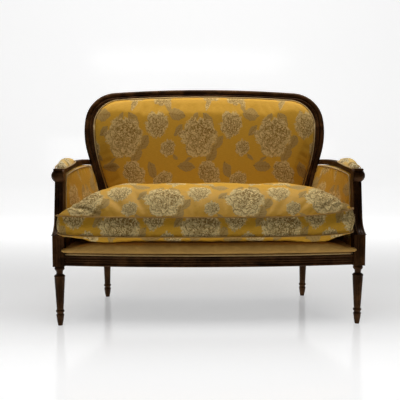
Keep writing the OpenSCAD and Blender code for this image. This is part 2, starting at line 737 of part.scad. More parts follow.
module arm_scroll() {
  sphere_r = (scroll_r * scroll_r + boss_out * boss_out) / (2 * boss_out);
  boss_x = leg_x + block_w / 2;
  translate([0, scroll_y, scroll_z]) rotate([0, 90, 0]) rotate_extrude() {
    translate([0, support_x - support_w / 2 - 5]) square([scroll_r, boss_x - support_x + support_w / 2 + 5]);
    intersection() {
      translate([0, boss_x + boss_out - sphere_r]) circle(sphere_r);
      translate([0, boss_x - cut]) square([scroll_r, boss_out + 2 * cut]);
    }
  }
}
module arm_rail(side) {
  cap_out = 0.5;
  color(wood) placed() mirrored(side) difference() {
    union() {
      loft([for (i = [0 : arm_steps]) arm_ring(i / arm_steps)]);
      arm_scroll();
      box([support_x - support_w / 2, scroll_y, support_top],
          [support_x + support_w / 2, arm_block_rear, arm_height - cap_t]);
      box([support_x - support_w / 2 - cap_out, scroll_y - scroll_r - cap_out, arm_height - cap_t - cut],
          [support_x + support_w / 2 + cap_out, cap_rear, arm_height]);
    }
    support_tenons(fit);
    arm_dowel_solid(dowel_r + fit / 2, dowel_l);
    in_back_plane() translate(straight_low) rotate([0, 0, -post_lean])
      box([-200, -50, -100], [0, straight_l + 50, 100]);
    eye_r = scroll_r * 0.6;
    eye_x = leg_x + block_w / 2 + boss_out * 0.7;
    translate([eye_x, scroll_y, scroll_z]) rotate([0, 90, 0])
      rotate_extrude() translate([eye_r, 0]) circle(1.8, $fn = 24);
  }
}
module arm_rail_left() { arm_rail(-1); }
module arm_rail_right() { arm_rail(1); }
module arm_dowels() { color(raw_wood) placed() both_sides() arm_dowel_solid(dowel_r, dowel_l - 2); }

// Edge of the back upholstery: its own run of tangent curves inside the frame
sight_w = crest_w - sight_top;
sight_u = wide_u - sight_side;
sight_wide = wide_w + 26;
sight_lean = post_lean + 1.4;
sight_c1 = [0, sight_w - crest_radius];
sight_c3 = [sight_u - sight_side_r, sight_wide];
sight_c2 = touching(sight_c1, crest_radius, sight_c3, sight_side_r, sight_shoulder_r);
sight_a1 = atan2(sight_c2.y - sight_c1.y, sight_c2.x - sight_c1.x);
sight_a3 = atan2(sight_c2.y - sight_c3.y, sight_c2.x - sight_c3.x);
sight_top_end = sight_c3 + polar(-sight_lean, sight_side_r);
sight_bottom = low_rail_gap + rail_h / 2 + 14;
sight_drop = sight_top_end.y - sight_bottom;
sight_low_u = sight_top_end.x - sight_drop * tan(sight_lean);

// Right half of that edge drawn in by an inset, from the middle below to the middle above
function sight_half(inset) =
  let (foot = [sight_low_u - inset / cos(sight_lean) - inset * tan(sight_lean), sight_bottom + inset],
       head = sight_top_end - inset * polar(-sight_lean), round_r = 18, back = foot + [-round_r, 0],
       up = foot + round_r * [sin(sight_lean), cos(sight_lean)])
  concat(
    [for (k = [0 : 3]) [back.x * k / 4, back.y]],
    [for (k = [0, 0.5, 1]) mix(mix(back, foot, k), mix(foot, up, k), k)],
    [for (k = [0.2 : 0.2 : 0.81]) mix(up, head, k)],
    [for (k = [0 : 6]) sight_c3 + polar(mix(-sight_lean, sight_a3, k / 6), sight_side_r - inset)],
    [for (k = [1 : 7]) sight_c2 + polar(mix(sight_a3, sight_a1, k / 7), sight_shoulder_r - inset)],
    [for (k = [1 : 5]) sight_c1 + polar(mix(sight_a1, 90, k / 5), crest_radius - inset)]
  );
function both_halves(half) =
  concat(half, [for (i = [len(half) - 2 : -1 : 1]) [-half[i].x, half[i].y]]);
function sight_ring(inset, t) = [for (p = both_halves(sight_half(inset))) [p.x, p.y, t]];

module back_pad() {
  edge = 2 * piping_r + 2 * soft_gap;
  floor_t = -rebate_t + joint_gap + 2 * web_t + soft_gap;
  color(gold) placed() in_back_plane() loft([
    sight_ring(edge + 40, floor_t), sight_ring(edge, floor_t),
    sight_ring(edge - 0.2, 2), sight_ring(edge + 4, back_crown * 0.36), sight_ring(edge + 13, back_crown * 0.62),
    sight_ring(edge + 30, back_crown * 0.84), sight_ring(edge + 60, back_crown * 0.96),
    sight_ring(edge + 100, back_crown)
  ]);
}

// Piping round the back upholstery, lying in the frame's rebate
module piping_arc(centre, r, from, to, bead) {
  translate(centre) rotate_extrude(angle = to - from, start = from, $fn = fine(r))
    translate([r - piping_r, 0]) circle(bead, $fn = 32);
}
module back_piping() {
  down = [-sin(sight_lean), -cos(sight_lean)];
  low_l = (sight_drop - 12) / cos(sight_lean);
  turn = asin(lap / sight_shoulder_r);
  thick = piping_r + grow;
  color(pale_gold) placed() in_back_plane() translate([0, 0, thick + joint_gap - rebate_t]) {
    piping_arc(sight_c1, crest_radius, sight_a1, 180 - sight_a1, thick);
    both_sides() {
      piping_arc(sight_c2, sight_shoulder_r, sight_a3 - turn, sight_a1 + turn, piping_r);
      piping_arc(sight_c3, sight_side_r, -sight_lean, sight_a3, thick);
      translate(sight_top_end + low_l * down - piping_r * polar(-sight_lean))
        rotate([0, 0, -sight_lean]) rotate([-90, 0, 0]) cylinder(h = low_l + lap, r = piping_r);
    }
  }
}

// Back webbing: upright straps tacked to the crest and lower rails, then level ones
module back_webbing() {
  low = low_rail_gap + rail_h / 2 + 10;
  bite = 6;
  t0 = -rebate_t + joint_gap;
  color(jute) placed() in_back_plane() {
    for (k = [-2 : 2]) {
      u = k * (sight_low_u - web_w) / 2;
      top = crest_w - frame_w + bite - u * u / (2 * crest_radius);
      box([u - web_w / 2, low, t0], [u + web_w / 2, top - 1, t0 + web_t]);
    }
    for (k = [1 : 3]) {
      w = mix(low, wide_w, k / 3.5);
      u = outer_u(w - web_w / 2) - frame_w + bite;
      box([-u, w - web_w / 2, t0 + web_t], [u, w + web_w / 2, t0 + 2 * web_t]);
    }
  }
}

// Right half of the frame's own outline drawn in by an inset, from height w up
function outline_half(inset, w0) =
  concat(
    [[0, w0], [outer_u(w0) - inset, w0]],
    [for (k = [0 : 6]) hollow_c + polar(mix(180, 180 - post_lean, k / 6), hollow_radius + inset)],
    [for (k = [0 : 8]) side_c + polar(mix(-post_lean, shoulder_a, k / 8), side_radius - inset)],
    [for (k = [1 : 10]) shoulder_c + polar(mix(shoulder_a, crest_a, k / 10), shoulder_radius - inset)],
    [for (k = [1 : 6]) crest_c + polar(mix(crest_a, 90, k / 6), crest_radius - inset)]
  );
module outside_back_cover() {
  w0 = low_rail_gap + rail_h / 2 - 6;
  color(gold) placed() in_back_plane() translate([0, 0, -frame_t])
    linear_extrude(cover_t) polygon(both_halves(outline_half(rear_rebate_s + 2 * soft_gap, w0)));
}

// The upholstered side: its middle surface runs from the side rail up to the arm. Shares
// a and b run from the arm support to the back post and from the rail to the arm.
side_gap = 1;
side_low = rail_top + 2 * web_t + 1;
side_margin = 0.022;
side_as = [0, side_margin, 0.09, 0.2, 0.33, 0.48, 0.63, 0.78, 0.91, 1];
side_step = (arm_rear_height - side_low) * 0.09;
function side_front_y(z) = support_rear_y(z) + side_gap;
function side_rear_y(z) =
  (z < leg_height + rear_block_h + side_step ? frame_depth : back_face_y(z)) - side_gap;
function side_mid_x(a, z) =
  let (rise = smooth((z - side_low) / 80), rear = mix(rear_x + 3, outer_u(back_w(z)) + 9, rise),
       k = arm_k(mix(side_front_y(z), side_rear_y(z), a)), high = smooth((z - side_low - 200) / 120),
       flat = mix(leg_x + 3, rear, a))
  mix(flat, mix(flat, arm_at(k).x, 0.5), high * (1 - a));
// Height of the underside of the arm over the side
function side_k(a, z) = arm_k(mix(side_front_y(z), side_rear_y(z), a));
function under_arm(k) = arm_at(k).z - arm_t / 2 / arm_dir(k).y - 1.5 * side_gap;
function side_high(a) = under_arm(side_k(a, under_arm(side_k(a, arm_at(0.5).z - arm_t / 2))));
// The front edge follows the hollow back of the support, so its shares b are set by that arc
arc_low = -acos((block_w / 2 - sweep_c.x) / sweep_outer);
arc_zs = [for (k = [0 : 6]) sweep_c.y + sweep_outer * sin(mix(arc_low, -support_lean, k / 6))];
arc_bs = [for (z = arc_zs) (z - side_low) / (side_high(0) - side_low)];
side_bs = concat([0, arc_bs[0] / 2], arc_bs, [for (k = [1 : 4]) mix(arc_bs[6], 1 - side_margin, k / 4)], [1]);
function front_normal(z) =
  z > arc_zs[6] ? polar(-support_lean) :
  z < arc_zs[0] ? [1, 0] : unit([support_rear_y(z), z] - sweep_c);
function side_point(a, b, out) =
  let (z = mix(side_low, side_high(a), b), y = mix(side_front_y(z), side_rear_y(z), a))
  [side_mid_x(a, z) + out, y, z];
function inner_share(k) = clamp01((k - side_margin) / (1 - 2 * side_margin));
function swell(a, b) = sqrt(max(0, sin(180 * inner_share(a)) * sin(180 * inner_share(b))));
function side_grid(out, crown) =
  [for (a = side_as) [for (b = side_bs) side_point(a, b, out - crown * swell(a, b))]];
side_out = 6;
module side_pad(side) {
  color(gold) placed() mirrored(side)
    shell(side_grid(side_out - side_pad_t, side_crown), side_grid(side_out, 0));
}
module side_pad_left() { side_pad(-1); }
module side_pad_right() { side_pad(1); }
module outside_arm_cover(side) {
  color(gold) placed() mirrored(side)
    shell(side_grid(side_out + soft_gap, 0), side_grid(side_out + soft_gap + cover_t, 0));
}
module outside_arm_cover_left() { outside_arm_cover(-1); }
module outside_arm_cover_right() { outside_arm_cover(1); }

// Piping up the front edge of the side and back under the arm
small_piping_r = piping_r - 0.7;
module side_piping(side) {
  r = small_piping_r;
  out = side_out - side_pad_t - r - 3.5 * soft_gap;
  below_arm = 1 - 1.3 * r / (side_high(0) - side_low);
  path = concat(
    [for (b = side_bs) if (b > 0.1 && b < below_arm - side_margin)
      let (p = side_point(0, b, out), n = front_normal(p.z)) p + r * [0, n.x, n.y]],
    [side_point(0.3 * side_margin, below_arm, out) + [0, r, -0.6 * r]],
    [for (a = side_as) if (a > side_margin && a < 1) side_point(a, below_arm, out)]
  );
  color(pale_gold) placed() mirrored(side) cord(path, r, up = [1, 0, 0]);
}
module side_piping_left() { side_piping(-1); }
module side_piping_right() { side_piping(1); }

// Arm pad: a stuffed roll on top of the arm, from just behind the cap. Its outline runs
// along the arm, x to the side.
pad_from = cap_rear + 10.5;
pad_steps = 14;
pad_points = 14;
function pad_share(f) = pow(max(0, sin(180 * f)), 0.5);
function pad_half(f) = arm_pad_half * mix(0.36, 1, pad_share(f));
function pad_up(f) = arm_pad_h * mix(0.2, 1, pad_share(f));
function on_arm(y, x, z) =
  let (k = arm_k(pad_from + y), d = arm_dir(k), side = unit(cross([0, 0, 1], d)), up = cross(d, side))
  arm_at(k) + side * x + up * (arm_t / 2 + z);
module arm_pad(side) {
  rings = [for (i = [0 : pad_steps]) let (f = i / pad_steps)
    [for (j = [pad_points - 1 : -1 : 0]) let (a = j * 180 / (pad_points - 1))
      on_arm(arm_pad_l * f, -pad_half(f) * cos(a), soft_gap + pad_up(f) * sin(a))]];
  color(gold) placed() mirrored(side) loft(rings);
}
module arm_pad_left() { arm_pad(-1); }
module arm_pad_right() { arm_pad(1); }
module arm_pad_piping(side) {
  r = small_piping_r;
  n = 14;
  half = [for (i = [0 : n]) let (f = (1 - cos(180 * i / n)) / 2) [pad_half(f), arm_pad_l * f]];
  edge = concat(half, [for (i = [n : -1 : 0]) [-half[i].x, half[i].y]]);
  m = len(edge);
  path = [for (i = [0 : m - 1])
    let (d = unit(edge[(i + 1) % m] - edge[(i + m - 1) % m]), q = edge[i] + [d.y, -d.x] * (r + 2 * soft_gap))
    on_arm(q.y, q.x, r + soft_gap)];
  color(pale_gold) placed() mirrored(side) cord(path, r, closed = true);
}
module arm_pad_piping_left() { arm_pad_piping(-1); }
module arm_pad_piping_right() { arm_pad_piping(1); }

// Upholstered deck over the seat frame, bulging a little over the front rail
deck_low = side_low;
deck_top = rail_top + deck_h;
deck_ear = block_w / 2 - 11;
deck_side = side_pad_t + 9;
deck_rear = frame_depth - 8;
deck_heart_y = (deck_rear - block_w / 2) / 2;
// Outline of the deck, set forward of the rail, and more so towards its ends. An ear of
// it may pass in front of the corner block.
function deck_half(front, ends, ear) =
  let (y1 = block_w / 2 + 30, in_x = bow_half - soft_gap, front_x = in_x + ear * deck_ear, n = 9,
       notch_y = max(bow_end_y - front - ends + 1, -block_w / 2 - soft_gap))
  concat(
    [for (k = [0 : n]) let (x = front_x * k / n) [x, bow_y(min(x, bow_half)) - front - ends * pow(k / n, 4)]],
    [[front_x + ear, notch_y - (1 - ear) / 2], [in_x, notch_y], [in_x, block_w / 2 + 10]],
    [for (k = [0 : 4]) let (y = mix(y1, deck_rear - 20, k / 4)) [side_rail_x(y) - deck_side, y]],
    [[side_rail_x(deck_rear) - deck_side - 20, deck_rear], [0, deck_rear]]
  );
function deck_heart(p) = [max(-rear_x, min(rear_x, p.x)) * 0.7, deck_heart_y];
// How far the top of the deck falls towards its front corners
function deck_fall(p) = 22 * smooth((abs(p.x) - bow_half + 100) / 96) * smooth((90 - p.y) / 80);
// The same outline drawn in towards the middle by the share k
function deck_ring(k, front, ends, ear, z) =
  [for (p = both_halves(deck_half(front, ends, ear)))
    let (q = mix(p, deck_heart(p), k), rise = clamp01((z - rail_top - 3 * piping_r) / (deck_h - 3 * piping_r)))
    [q.x, q.y, z - deck_fall(p) * rise]];
module deck_pad() {
  tuck = -2 * piping_r - 2;
  low = rail_top + 2 * piping_r + 1;
  color(gold) placed() loft([
    deck_ring(0.02, tuck, 0, 0, deck_low), deck_ring(0.015, tuck, 0, 0, low), deck_ring(0, 3, 7, 0, low + 4),
    deck_ring(0, 5, 9, 1, low + 9), deck_ring(0, 8, 10, 1, mix(deck_low, deck_top, 0.5)),
    deck_ring(0, 7, 10, 1, mix(deck_low, deck_top, 0.68)), deck_ring(0, 6, 10, 0, deck_top - 8),
    deck_ring(0.03, 6, 10, 0, deck_top - 4), deck_ring(0.09, 6, 10, 0, deck_top - 1.2),
    deck_ring(0.2, 6, 10, 0, deck_top)
  ]);
}
module deck_piping() {
  turn = asin((bow_half - piping_r / 2) / bow_r);
  color(pale_gold) placed() translate([0, bow_c.y, rail_top + piping_r + joint_gap])
    rotate_extrude(angle = 2 * turn, start = 270 - turn, $fn = fine(bow_r))
    translate([bow_r - piping_r - 0.5, 0]) circle(piping_r, $fn = 32);
}

// Seat webbing: straps front to back, tacked on the rails, and straps across on top of them
module seat_webbing() {
  color(jute) placed() {
    for (k = [-4 : 4]) {
      x = k * 96;
      box([x - web_w / 2, bow_y(abs(x) + web_w / 2, rail_t) - 8, rail_top],
          [x + web_w / 2, brace_end_y + 12, rail_top + web_t]);
    }
    for (k = [0 : 3]) {
      y = mix(block_w / 2 + 50, frame_depth - 60, k / 3);
      x = side_rail_x(y + web_w / 2) - 4;
      box([-x, y - web_w / 2, rail_top + web_t], [x, y + web_w / 2, rail_top + 2 * web_t]);
    }
  }
}

// Thin cloth tacked under the seat rails
module dust_cover() {
  in_front = 7;
  y0 = block_w / 2 + 3;
  rear_y = brace_end_y + rail_t - 4;
  rear_in = rear_x - rear_block_w / 2 - 2;
  n = 10;
  front_half = [for (k = [0 : n]) let (x = (bow_half - 2) * k / n) [x, bow_y(x, in_front + 5)]];
  side_half = [[bow_half - 2, y0], [side_rail_x(y0) - 3, y0], [side_rail_x(frame_depth - 3) - 3, frame_depth - 3],
    [rear_in, frame_depth - 3], [rear_in, rear_y]];
  half = concat(front_half, side_half);
  color(black_cloth) placed() translate([0, 0, rail_z - 1]) linear_extrude(1)
    polygon(concat(half, [for (i = [len(half) - 1 : -1 : 1]) [-half[i].x, half[i].y]]));
}

// Seat cushion: an outline of straights and rounded corners, a boxing between two seams,
// a crown above that rises steeply from the seam, and a shallow belly below
cushion_low = deck_top + rest_gap;
low_seam_z = deck_top + seam_low;
top_seam_z = low_seam_z + boxing_h;
crown_z = top_seam_z + cushion_crown;
cushion_rear = frame_depth - 17;
side_clear = side_pad_t - side_out + side_crown + piping_out + cushion_piping_r + 1;
rear_half = outer_u(back_w(top_seam_z)) + 9 - side_clear;
front_half = support_x - support_w / 2 - 2 - piping_out - cushion_piping_r - 1;
function corner_points(a, b, c, r, n) =
  let (p = b + unit(a - b) * r, q = b + unit(c - b) * r)
  [for (k = [0 : n]) let (f = k / n) mix(mix(p, b, f), mix(b, q, f), f)];
function edge_points(p, q, n) = [for (k = [1 : n - 1]) mix(p, q, k / n)];
cushion_corners = [
  [-cushion_left, -cushion_front], [cushion_right, -cushion_front],
  [cushion_right - 2, -4], [front_half, 28], [rear_half, cushion_rear],
  [-rear_half, cushion_rear], [-front_half, 28], [-front_half - 14, -4]
];
cushion_rounds = [20, 20, 12, 14, 46, 46, 14, 12];
cushion_edge_n = [19, 1, 1, 9, 15, 9, 1, 1];
function cushion_outline() =
  let (n = len(cushion_corners))
  [for (i = [0 : n - 1])
    let (a = cushion_corners[(i + n - 1) % n], b = cushion_corners[i], c = cushion_corners[(i + 1) % n],
         r = cushion_rounds[i], r2 = cushion_rounds[(i + 1) % n],
         p = b + unit(c - b) * r, q = c + unit(b - c) * r2)
    each concat(corner_points(a, b, c, r, 3), edge_points(p, q, cushion_edge_n[i]))];
function bowed(p) =
  [p.x, p.y - cushion_bow * max(0, 1 - pow(p.x / leg_x, 2)) * smooth((160 - p.y) / 200)];
cushion_edge = [for (p = cushion_outline()) bowed(p)];
cushion_n = len(cushion_edge);
heart_y = mix(-cushion_front, cushion_rear, 0.5);
function heart(p) = [min(rear_half - 165, max(165 - rear_half, p.x)) * 0.94, heart_y];
// The seams lift at the front corners, most at the right one, and the upper one to the back
low_lift = [low_seam_z / 60, low_seam_z / 25];
top_lift = [top_seam_z / 108, top_seam_z / 14];
back_lift = top_seam_z / 24;
function corner_lift(p, lift) = smooth((120 - p.y) / 160) *
  (p.x > 0 ? lift[1] * pow(min(1, p.x / cushion_right), 5) : lift[0] * pow(min(1, -p.x / cushion_left), 5));
function low_seam(p) =
  let (back = clamp01(p.y / cushion_rear), reach = piping_out + cushion_piping_r,
       side = smooth((abs(p.x) - bow_half + reach + 6) / 5),
       over = max(smooth((abs(p.x) - front_half - 0.5) / 3), side * smooth((8 - p.y) / 10)),
       plain = low_seam_z - 3 * back + corner_lift(p, low_lift),
       on_block = block_top + cushion_piping_r + 1,
       z = mix(plain, max(plain, on_block), side * smooth((70 - p.y) / 15)),
       on_sweep = sweep_front_z(p.y + reach + 2) + cushion_piping_r + 3)
  [p.x * (1 - 0.055 * back), p.y - 5 * back * back, mix(z, max(z, on_sweep), over)];
function top_seam(p) =
  [p.x, p.y, top_seam_z + back_lift * clamp01(p.y / cushion_rear) + corner_lift(p, top_lift)];
function normal_out(i) =
  let (d = unit(cushion_edge[(i + 1) % cushion_n] - cushion_edge[(i + cushion_n - 1) % cushion_n]))
  [d.y, -d.x, 0];
function crown_share(s) = 1 - pow(1 - s, 2.8);
// The belly rolls down at once behind the lower seam, but near the corner blocks it falls slowly
function belly_share(p, s) =
  mix(sqrt(1 - pow(1 - min(1, s / 0.16), 2)), pow(min(1, s / 0.8), 1.3), smooth((abs(p.x) - 430) / 110));
function cushion_ring_top(s) = [for (p = cushion_edge)
  let (q = top_seam(p), h = mix(p, heart(p), s)) [h.x, h.y, mix(q.z, crown_z, crown_share(s))]];
function cushion_ring_low(s) = [for (p = cushion_edge)
  let (q = low_seam(p), h = mix([q.x, q.y], heart(p), s)) [h.x, h.y, mix(q.z, cushion_low, belly_share(p, s))]];
function cushion_ring_box(f) = [for (i = [0 : cushion_n - 1])
  mix(low_seam(cushion_edge[i]), top_seam(cushion_edge[i]), f) + normal_out(i) * 4 * sin(180 * f)];
module seat_cushion() {
  color(gold) placed() loft(concat(
    [for (s = [0.8, 0.4, 0.16, 0.09, 0.035]) cushion_ring_low(s)],
    [for (f = [0, 0.35, 0.65, 1]) cushion_ring_box(f)],
    [for (s = [0.04, 0.1, 0.19, 0.32, 0.5, 0.75]) cushion_ring_top(s)]
  ));
}
module cushion_piping(path) {
  color(pale_gold) placed() cord([for (i = [0 : cushion_n - 1]) path[i] + normal_out(i) * piping_out],
    cushion_piping_r, closed = true);
}
module cushion_piping_top() { cushion_piping([for (p = cushion_edge) top_seam(p)]); }
module cushion_piping_bottom() { cushion_piping([for (p = cushion_edge) low_seam(p)]); }

front_leg_left();
front_leg_right();
back_post_left();
back_post_right();
crest_rail();
lower_back_rail();
seat_rail_front();
seat_rail_back();
seat_rail_left();
seat_rail_right();
seat_brace();
corner_glue_blocks();
corner_screws();
arm_support_left();
arm_support_right();
arm_rail_left();
arm_rail_right();
crest_dowels();
arm_dowels();
back_pad();
back_piping();
back_webbing();
outside_back_cover();
side_pad_left();
side_pad_right();
side_piping_left();
side_piping_right();
outside_arm_cover_left();
outside_arm_cover_right();
arm_pad_left();
arm_pad_right();
arm_pad_piping_left();
arm_pad_piping_right();
deck_pad();
deck_piping();
seat_webbing();
dust_cover();
seat_cushion();
cushion_piping_top();
cushion_piping_bottom();
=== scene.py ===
"""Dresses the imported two-seater sofa: show wood, carving, damask upholstery, piping and underside.

Lengths are in metres and angles in radians. X runs to the right seen from the front, Y to the
back and Z up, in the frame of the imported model.
"""
import logging
import math
from dataclasses import dataclass, field
from enum import Enum
from typing import Callable, ClassVar, Sequence, Union

import bmesh
import bpy
import numpy as np
from mathutils import Matrix, Vector
from mathutils.bvhtree import BVHTree
from mathutils.kdtree import KDTree


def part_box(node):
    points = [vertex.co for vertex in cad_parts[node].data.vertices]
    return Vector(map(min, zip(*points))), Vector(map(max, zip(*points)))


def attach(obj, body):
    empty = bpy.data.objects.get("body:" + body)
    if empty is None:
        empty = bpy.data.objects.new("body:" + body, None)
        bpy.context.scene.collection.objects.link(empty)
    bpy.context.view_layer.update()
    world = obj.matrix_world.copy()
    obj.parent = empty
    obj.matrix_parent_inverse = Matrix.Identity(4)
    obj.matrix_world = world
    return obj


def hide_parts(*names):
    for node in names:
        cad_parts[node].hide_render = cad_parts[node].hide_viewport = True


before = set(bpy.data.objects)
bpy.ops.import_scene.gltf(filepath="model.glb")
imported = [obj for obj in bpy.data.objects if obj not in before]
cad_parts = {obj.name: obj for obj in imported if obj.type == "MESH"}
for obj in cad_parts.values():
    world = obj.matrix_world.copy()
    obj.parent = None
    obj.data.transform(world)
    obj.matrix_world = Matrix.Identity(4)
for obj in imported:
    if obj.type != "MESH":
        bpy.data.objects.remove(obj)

LOG = logging.getLogger("sofa")
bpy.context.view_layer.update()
BODY = "frame"
CUSHION_BODY = "cushion"
CLOTH_MAP = "cloth"
WHITE = (1.0, 1.0, 1.0, 1)
HALF = (0.5, 0.5, 0.5)
FLAT = (1.0, 1.0, 0.0)
Points = np.ndarray
Piece = bpy.types.Object
Lay = Callable[[Points, Points, Points], Points]


class Side(Enum):
    """The two sides of the sofa, seen from the front."""

    LEFT = -1
    RIGHT = 1

    @property
    def word(self) -> str:
        """The side's word in the names of nodes and pieces."""
        return self.name.lower()


class Grain(Enum):
    """The way the wood's grain runs, as the axis that the pattern is stretched along."""

    ALONG_X = (0.07, 1.0, 1.0)
    ALONG_Y = (1.0, 0.07, 1.0)
    ALONG_Z = (1.0, 1.0, 0.07)


# Node trees


class Value:
    """An output of a node, which takes part in sums with numbers and other outputs."""

    def __init__(self, graph: "Graph", socket: bpy.types.NodeSocket) -> None:
        """Keeps the output and the graph that takes further nodes."""
        self.graph, self.socket = graph, socket

    def __add__(self, other: "Feed") -> "Value":
        """Returns the sum of the two."""
        return self.graph.math("ADD", self, other)

    def __sub__(self, other: "Feed") -> "Value":
        """Returns this output less the other."""
        return self.graph.math("SUBTRACT", self, other)

    def __rsub__(self, other: float) -> "Value":
        """Returns a number less this output."""
        return self.graph.math("SUBTRACT", other, self)

    def __mul__(self, other: "Feed") -> "Value":
        """Returns the product of the two."""
        return self.graph.math("MULTIPLY", self, other)


Feed = Union[float, tuple, Value, bpy.types.Material]


class Graph:
    """Builds one node tree, with short calls for the usual nodes."""

    def __init__(self, tree: bpy.types.NodeTree) -> None:
        """Keeps the tree that nodes are added to."""
        self.tree = tree

    def node(self, kind: str, feeds: dict | None = None, **settings: object) -> bpy.types.Node:
        """Adds a node.

        Args:
            kind: Blender's name of the node type.
            feeds: values or outputs for its inputs, by name or number.
            settings: the node's own properties.

        Returns:
            The new node.
        """
        node = self.tree.nodes.new(kind)
        for name, value in settings.items():
            setattr(node, name, value)
        self.feed(node, feeds or {})
        return node

    def feed(self, node: bpy.types.Node, feeds: dict[str | int, Feed]) -> None:
        """Links or sets some inputs of a node."""
        for key, value in feeds.items():
            if isinstance(value, Value):
                self.tree.links.new(value.socket, node.inputs[key])
            else:
                node.inputs[key].default_value = value

    def take(self, kind: str, feeds: dict | None = None, output: str | int = 0, **settings: object) -> Value:
        """Adds a node and returns one of its outputs, by name or number."""
        return Value(self, self.node(kind, feeds, **settings).outputs[output])

    def math(self, operation: str, *values: Feed, clamp: bool = False) -> Value:
        """Adds a Math node."""
        return self.take("ShaderNodeMath", dict(enumerate(values)), operation=operation, use_clamp=clamp)

    def vector(self, operation: str, *values: Feed) -> Value:
        """Adds a Vector Math node, whose result is a number for a length."""
        output = "Value" if operation in ("LENGTH", "DISTANCE") else "Vector"
        return self.take("ShaderNodeVectorMath", dict(enumerate(values)), output, operation=operation)

    def scaled(self, vector: Feed, scale: Feed) -> Value:
        """Returns a vector times a number."""
        return self.take("ShaderNodeVectorMath", {0: vector, "Scale": scale}, operation="SCALE")

    def across_and_up(self, vector: Feed) -> tuple[Value, Value]:
        """Returns the first two parts of a vector."""
        parts = self.node("ShaderNodeSeparateXYZ", {0: vector})
        return Value(self, parts.outputs[0]), Value(self, parts.outputs[1])

    def span(self, value: Feed, low: float, high: float, to_low: float = 0.0, to_high: float = 1.0,
             smooth: bool = False) -> Value:
        """Maps a value from one range to another and clamps it."""
        feeds = {0: value, 1: low, 2: high, 3: to_low, 4: to_high}
        return self.take("ShaderNodeMapRange", feeds, interpolation_type="SMOOTHSTEP" if smooth else "LINEAR")

    def noise(self, place: Feed, scale: Feed, detail: float = 2.0, rough: float = 0.5, bend: float = 0.0,
              output: str = "Fac") -> Value:
        """Returns a noise texture's value, or its colour."""
        feeds = {"Vector": place, "Scale": scale, "Detail": detail, "Roughness": rough, "Distortion": bend}
        return self.take("ShaderNodeTexNoise", feeds, output)

    def swayed(self, vector: Feed, place: Feed, scale: float, reach: float) -> Value:
        """Shifts a vector by a noise that is read at a place."""
        away = self.vector("SUBTRACT", self.noise(place, scale, output="Color"), HALF)
        return self.vector("ADD", vector, self.scaled(away, reach))

    def mix(self, factor: Feed, first: Feed, second: Feed) -> Value:
        """Mixes two colours."""
        return self.take("ShaderNodeMix", {0: factor, 6: first, 7: second}, 2, data_type="RGBA")

    def blend(self, factor: Feed, first: Feed, second: Feed) -> Value:
        """Mixes two numbers."""
        return self.take("ShaderNodeMix", {0: factor, 2: first, 3: second}, data_type="FLOAT")

    def place(self) -> Value:
        """Returns the piece's own coordinates."""
        return self.take("ShaderNodeTexCoord", output="Object")

    def cloth(self) -> Value:
        """Returns the place on the cloth that is laid on the piece."""
        return self.take("ShaderNodeUVMap", uv_map=CLOTH_MAP)

    def bump(self, *layers: tuple[Feed, float]) -> Value:
        """Stacks bump nodes.

        Args:
            layers: for each layer its height from 0 to 1 and its depth in metres.

        Returns:
            The normal.
        """
        under = {}
        for height, depth in layers:
            feeds = {"Height": height, "Distance": depth, "Strength": 1.0, **under}
            normal = self.take("ShaderNodeBump", feeds)
            under = {"Normal": normal}
        return normal

    def group(self, name: str, **feeds: Feed) -> dict[str, Value]:
        """Places a finished node group and returns its outputs by name."""
        node = self.node("ShaderNodeGroup", node_tree=bpy.data.node_groups[name])
        self.feed(node, feeds)
        return {socket.name: Value(self, socket) for socket in node.outputs}


class NodeGroup(Graph):
    """A node group with named inputs and outputs."""

    def __init__(self, name: str, inputs: dict[str, tuple[str, object]], outputs: dict[str, str],
                 kind: str = "ShaderNodeTree") -> None:
        """Starts the group.

        Args:
            name: the group's name.
            inputs: for each input its socket type and default.
            outputs: for each output its socket type.
            kind: Blender's name of the tree type.
        """
        super().__init__(bpy.data.node_groups.new(name, kind))
        sockets = self.tree.interface
        for key, (word, default) in inputs.items():
            socket = sockets.new_socket(key, in_out="INPUT", socket_type="NodeSocket" + word)
            if default is not None:
                socket.default_value = default
        for key, word in outputs.items():
            sockets.new_socket(key, in_out="OUTPUT", socket_type="NodeSocket" + word)
        start = self.node("NodeGroupInput")
        self.source = {key: Value(self, start.outputs[key]) for key in inputs}
        self.sink = self.node("NodeGroupOutput")

    def give(self, **feeds: Feed) -> None:
        """Links the group's outputs."""
        self.feed(self.sink, feeds)


# Groups shared by the finishes


def build_motif_group() -> None:
    """Builds "motif": one flower's or leaf's own coordinates, in a cell that repeats."""
    graph = NodeGroup(
        "motif",
        {"Cell": ("Vector", None), "Centre": ("Vector", (0, 0, 0)), "Size": ("Vector", (0.1, 0.1, 1.0)),
         "Turn": ("Float", 0.0)},
        {"Local": "Vector", "Far": "Float"})
    away = graph.vector("SUBTRACT", graph.source["Cell"], graph.source["Centre"])
    within = graph.vector("SUBTRACT", away, graph.vector("FLOOR", graph.vector("ADD", away, HALF)))
    turned = graph.take("ShaderNodeVectorRotate", {"Vector": within, "Angle": graph.source["Turn"]},
                        rotation_type="Z_AXIS")
    local = graph.vector("DIVIDE", graph.vector("MULTIPLY", turned, FLAT), graph.source["Size"])
    graph.give(Local=local, Far=graph.vector("LENGTH", local))


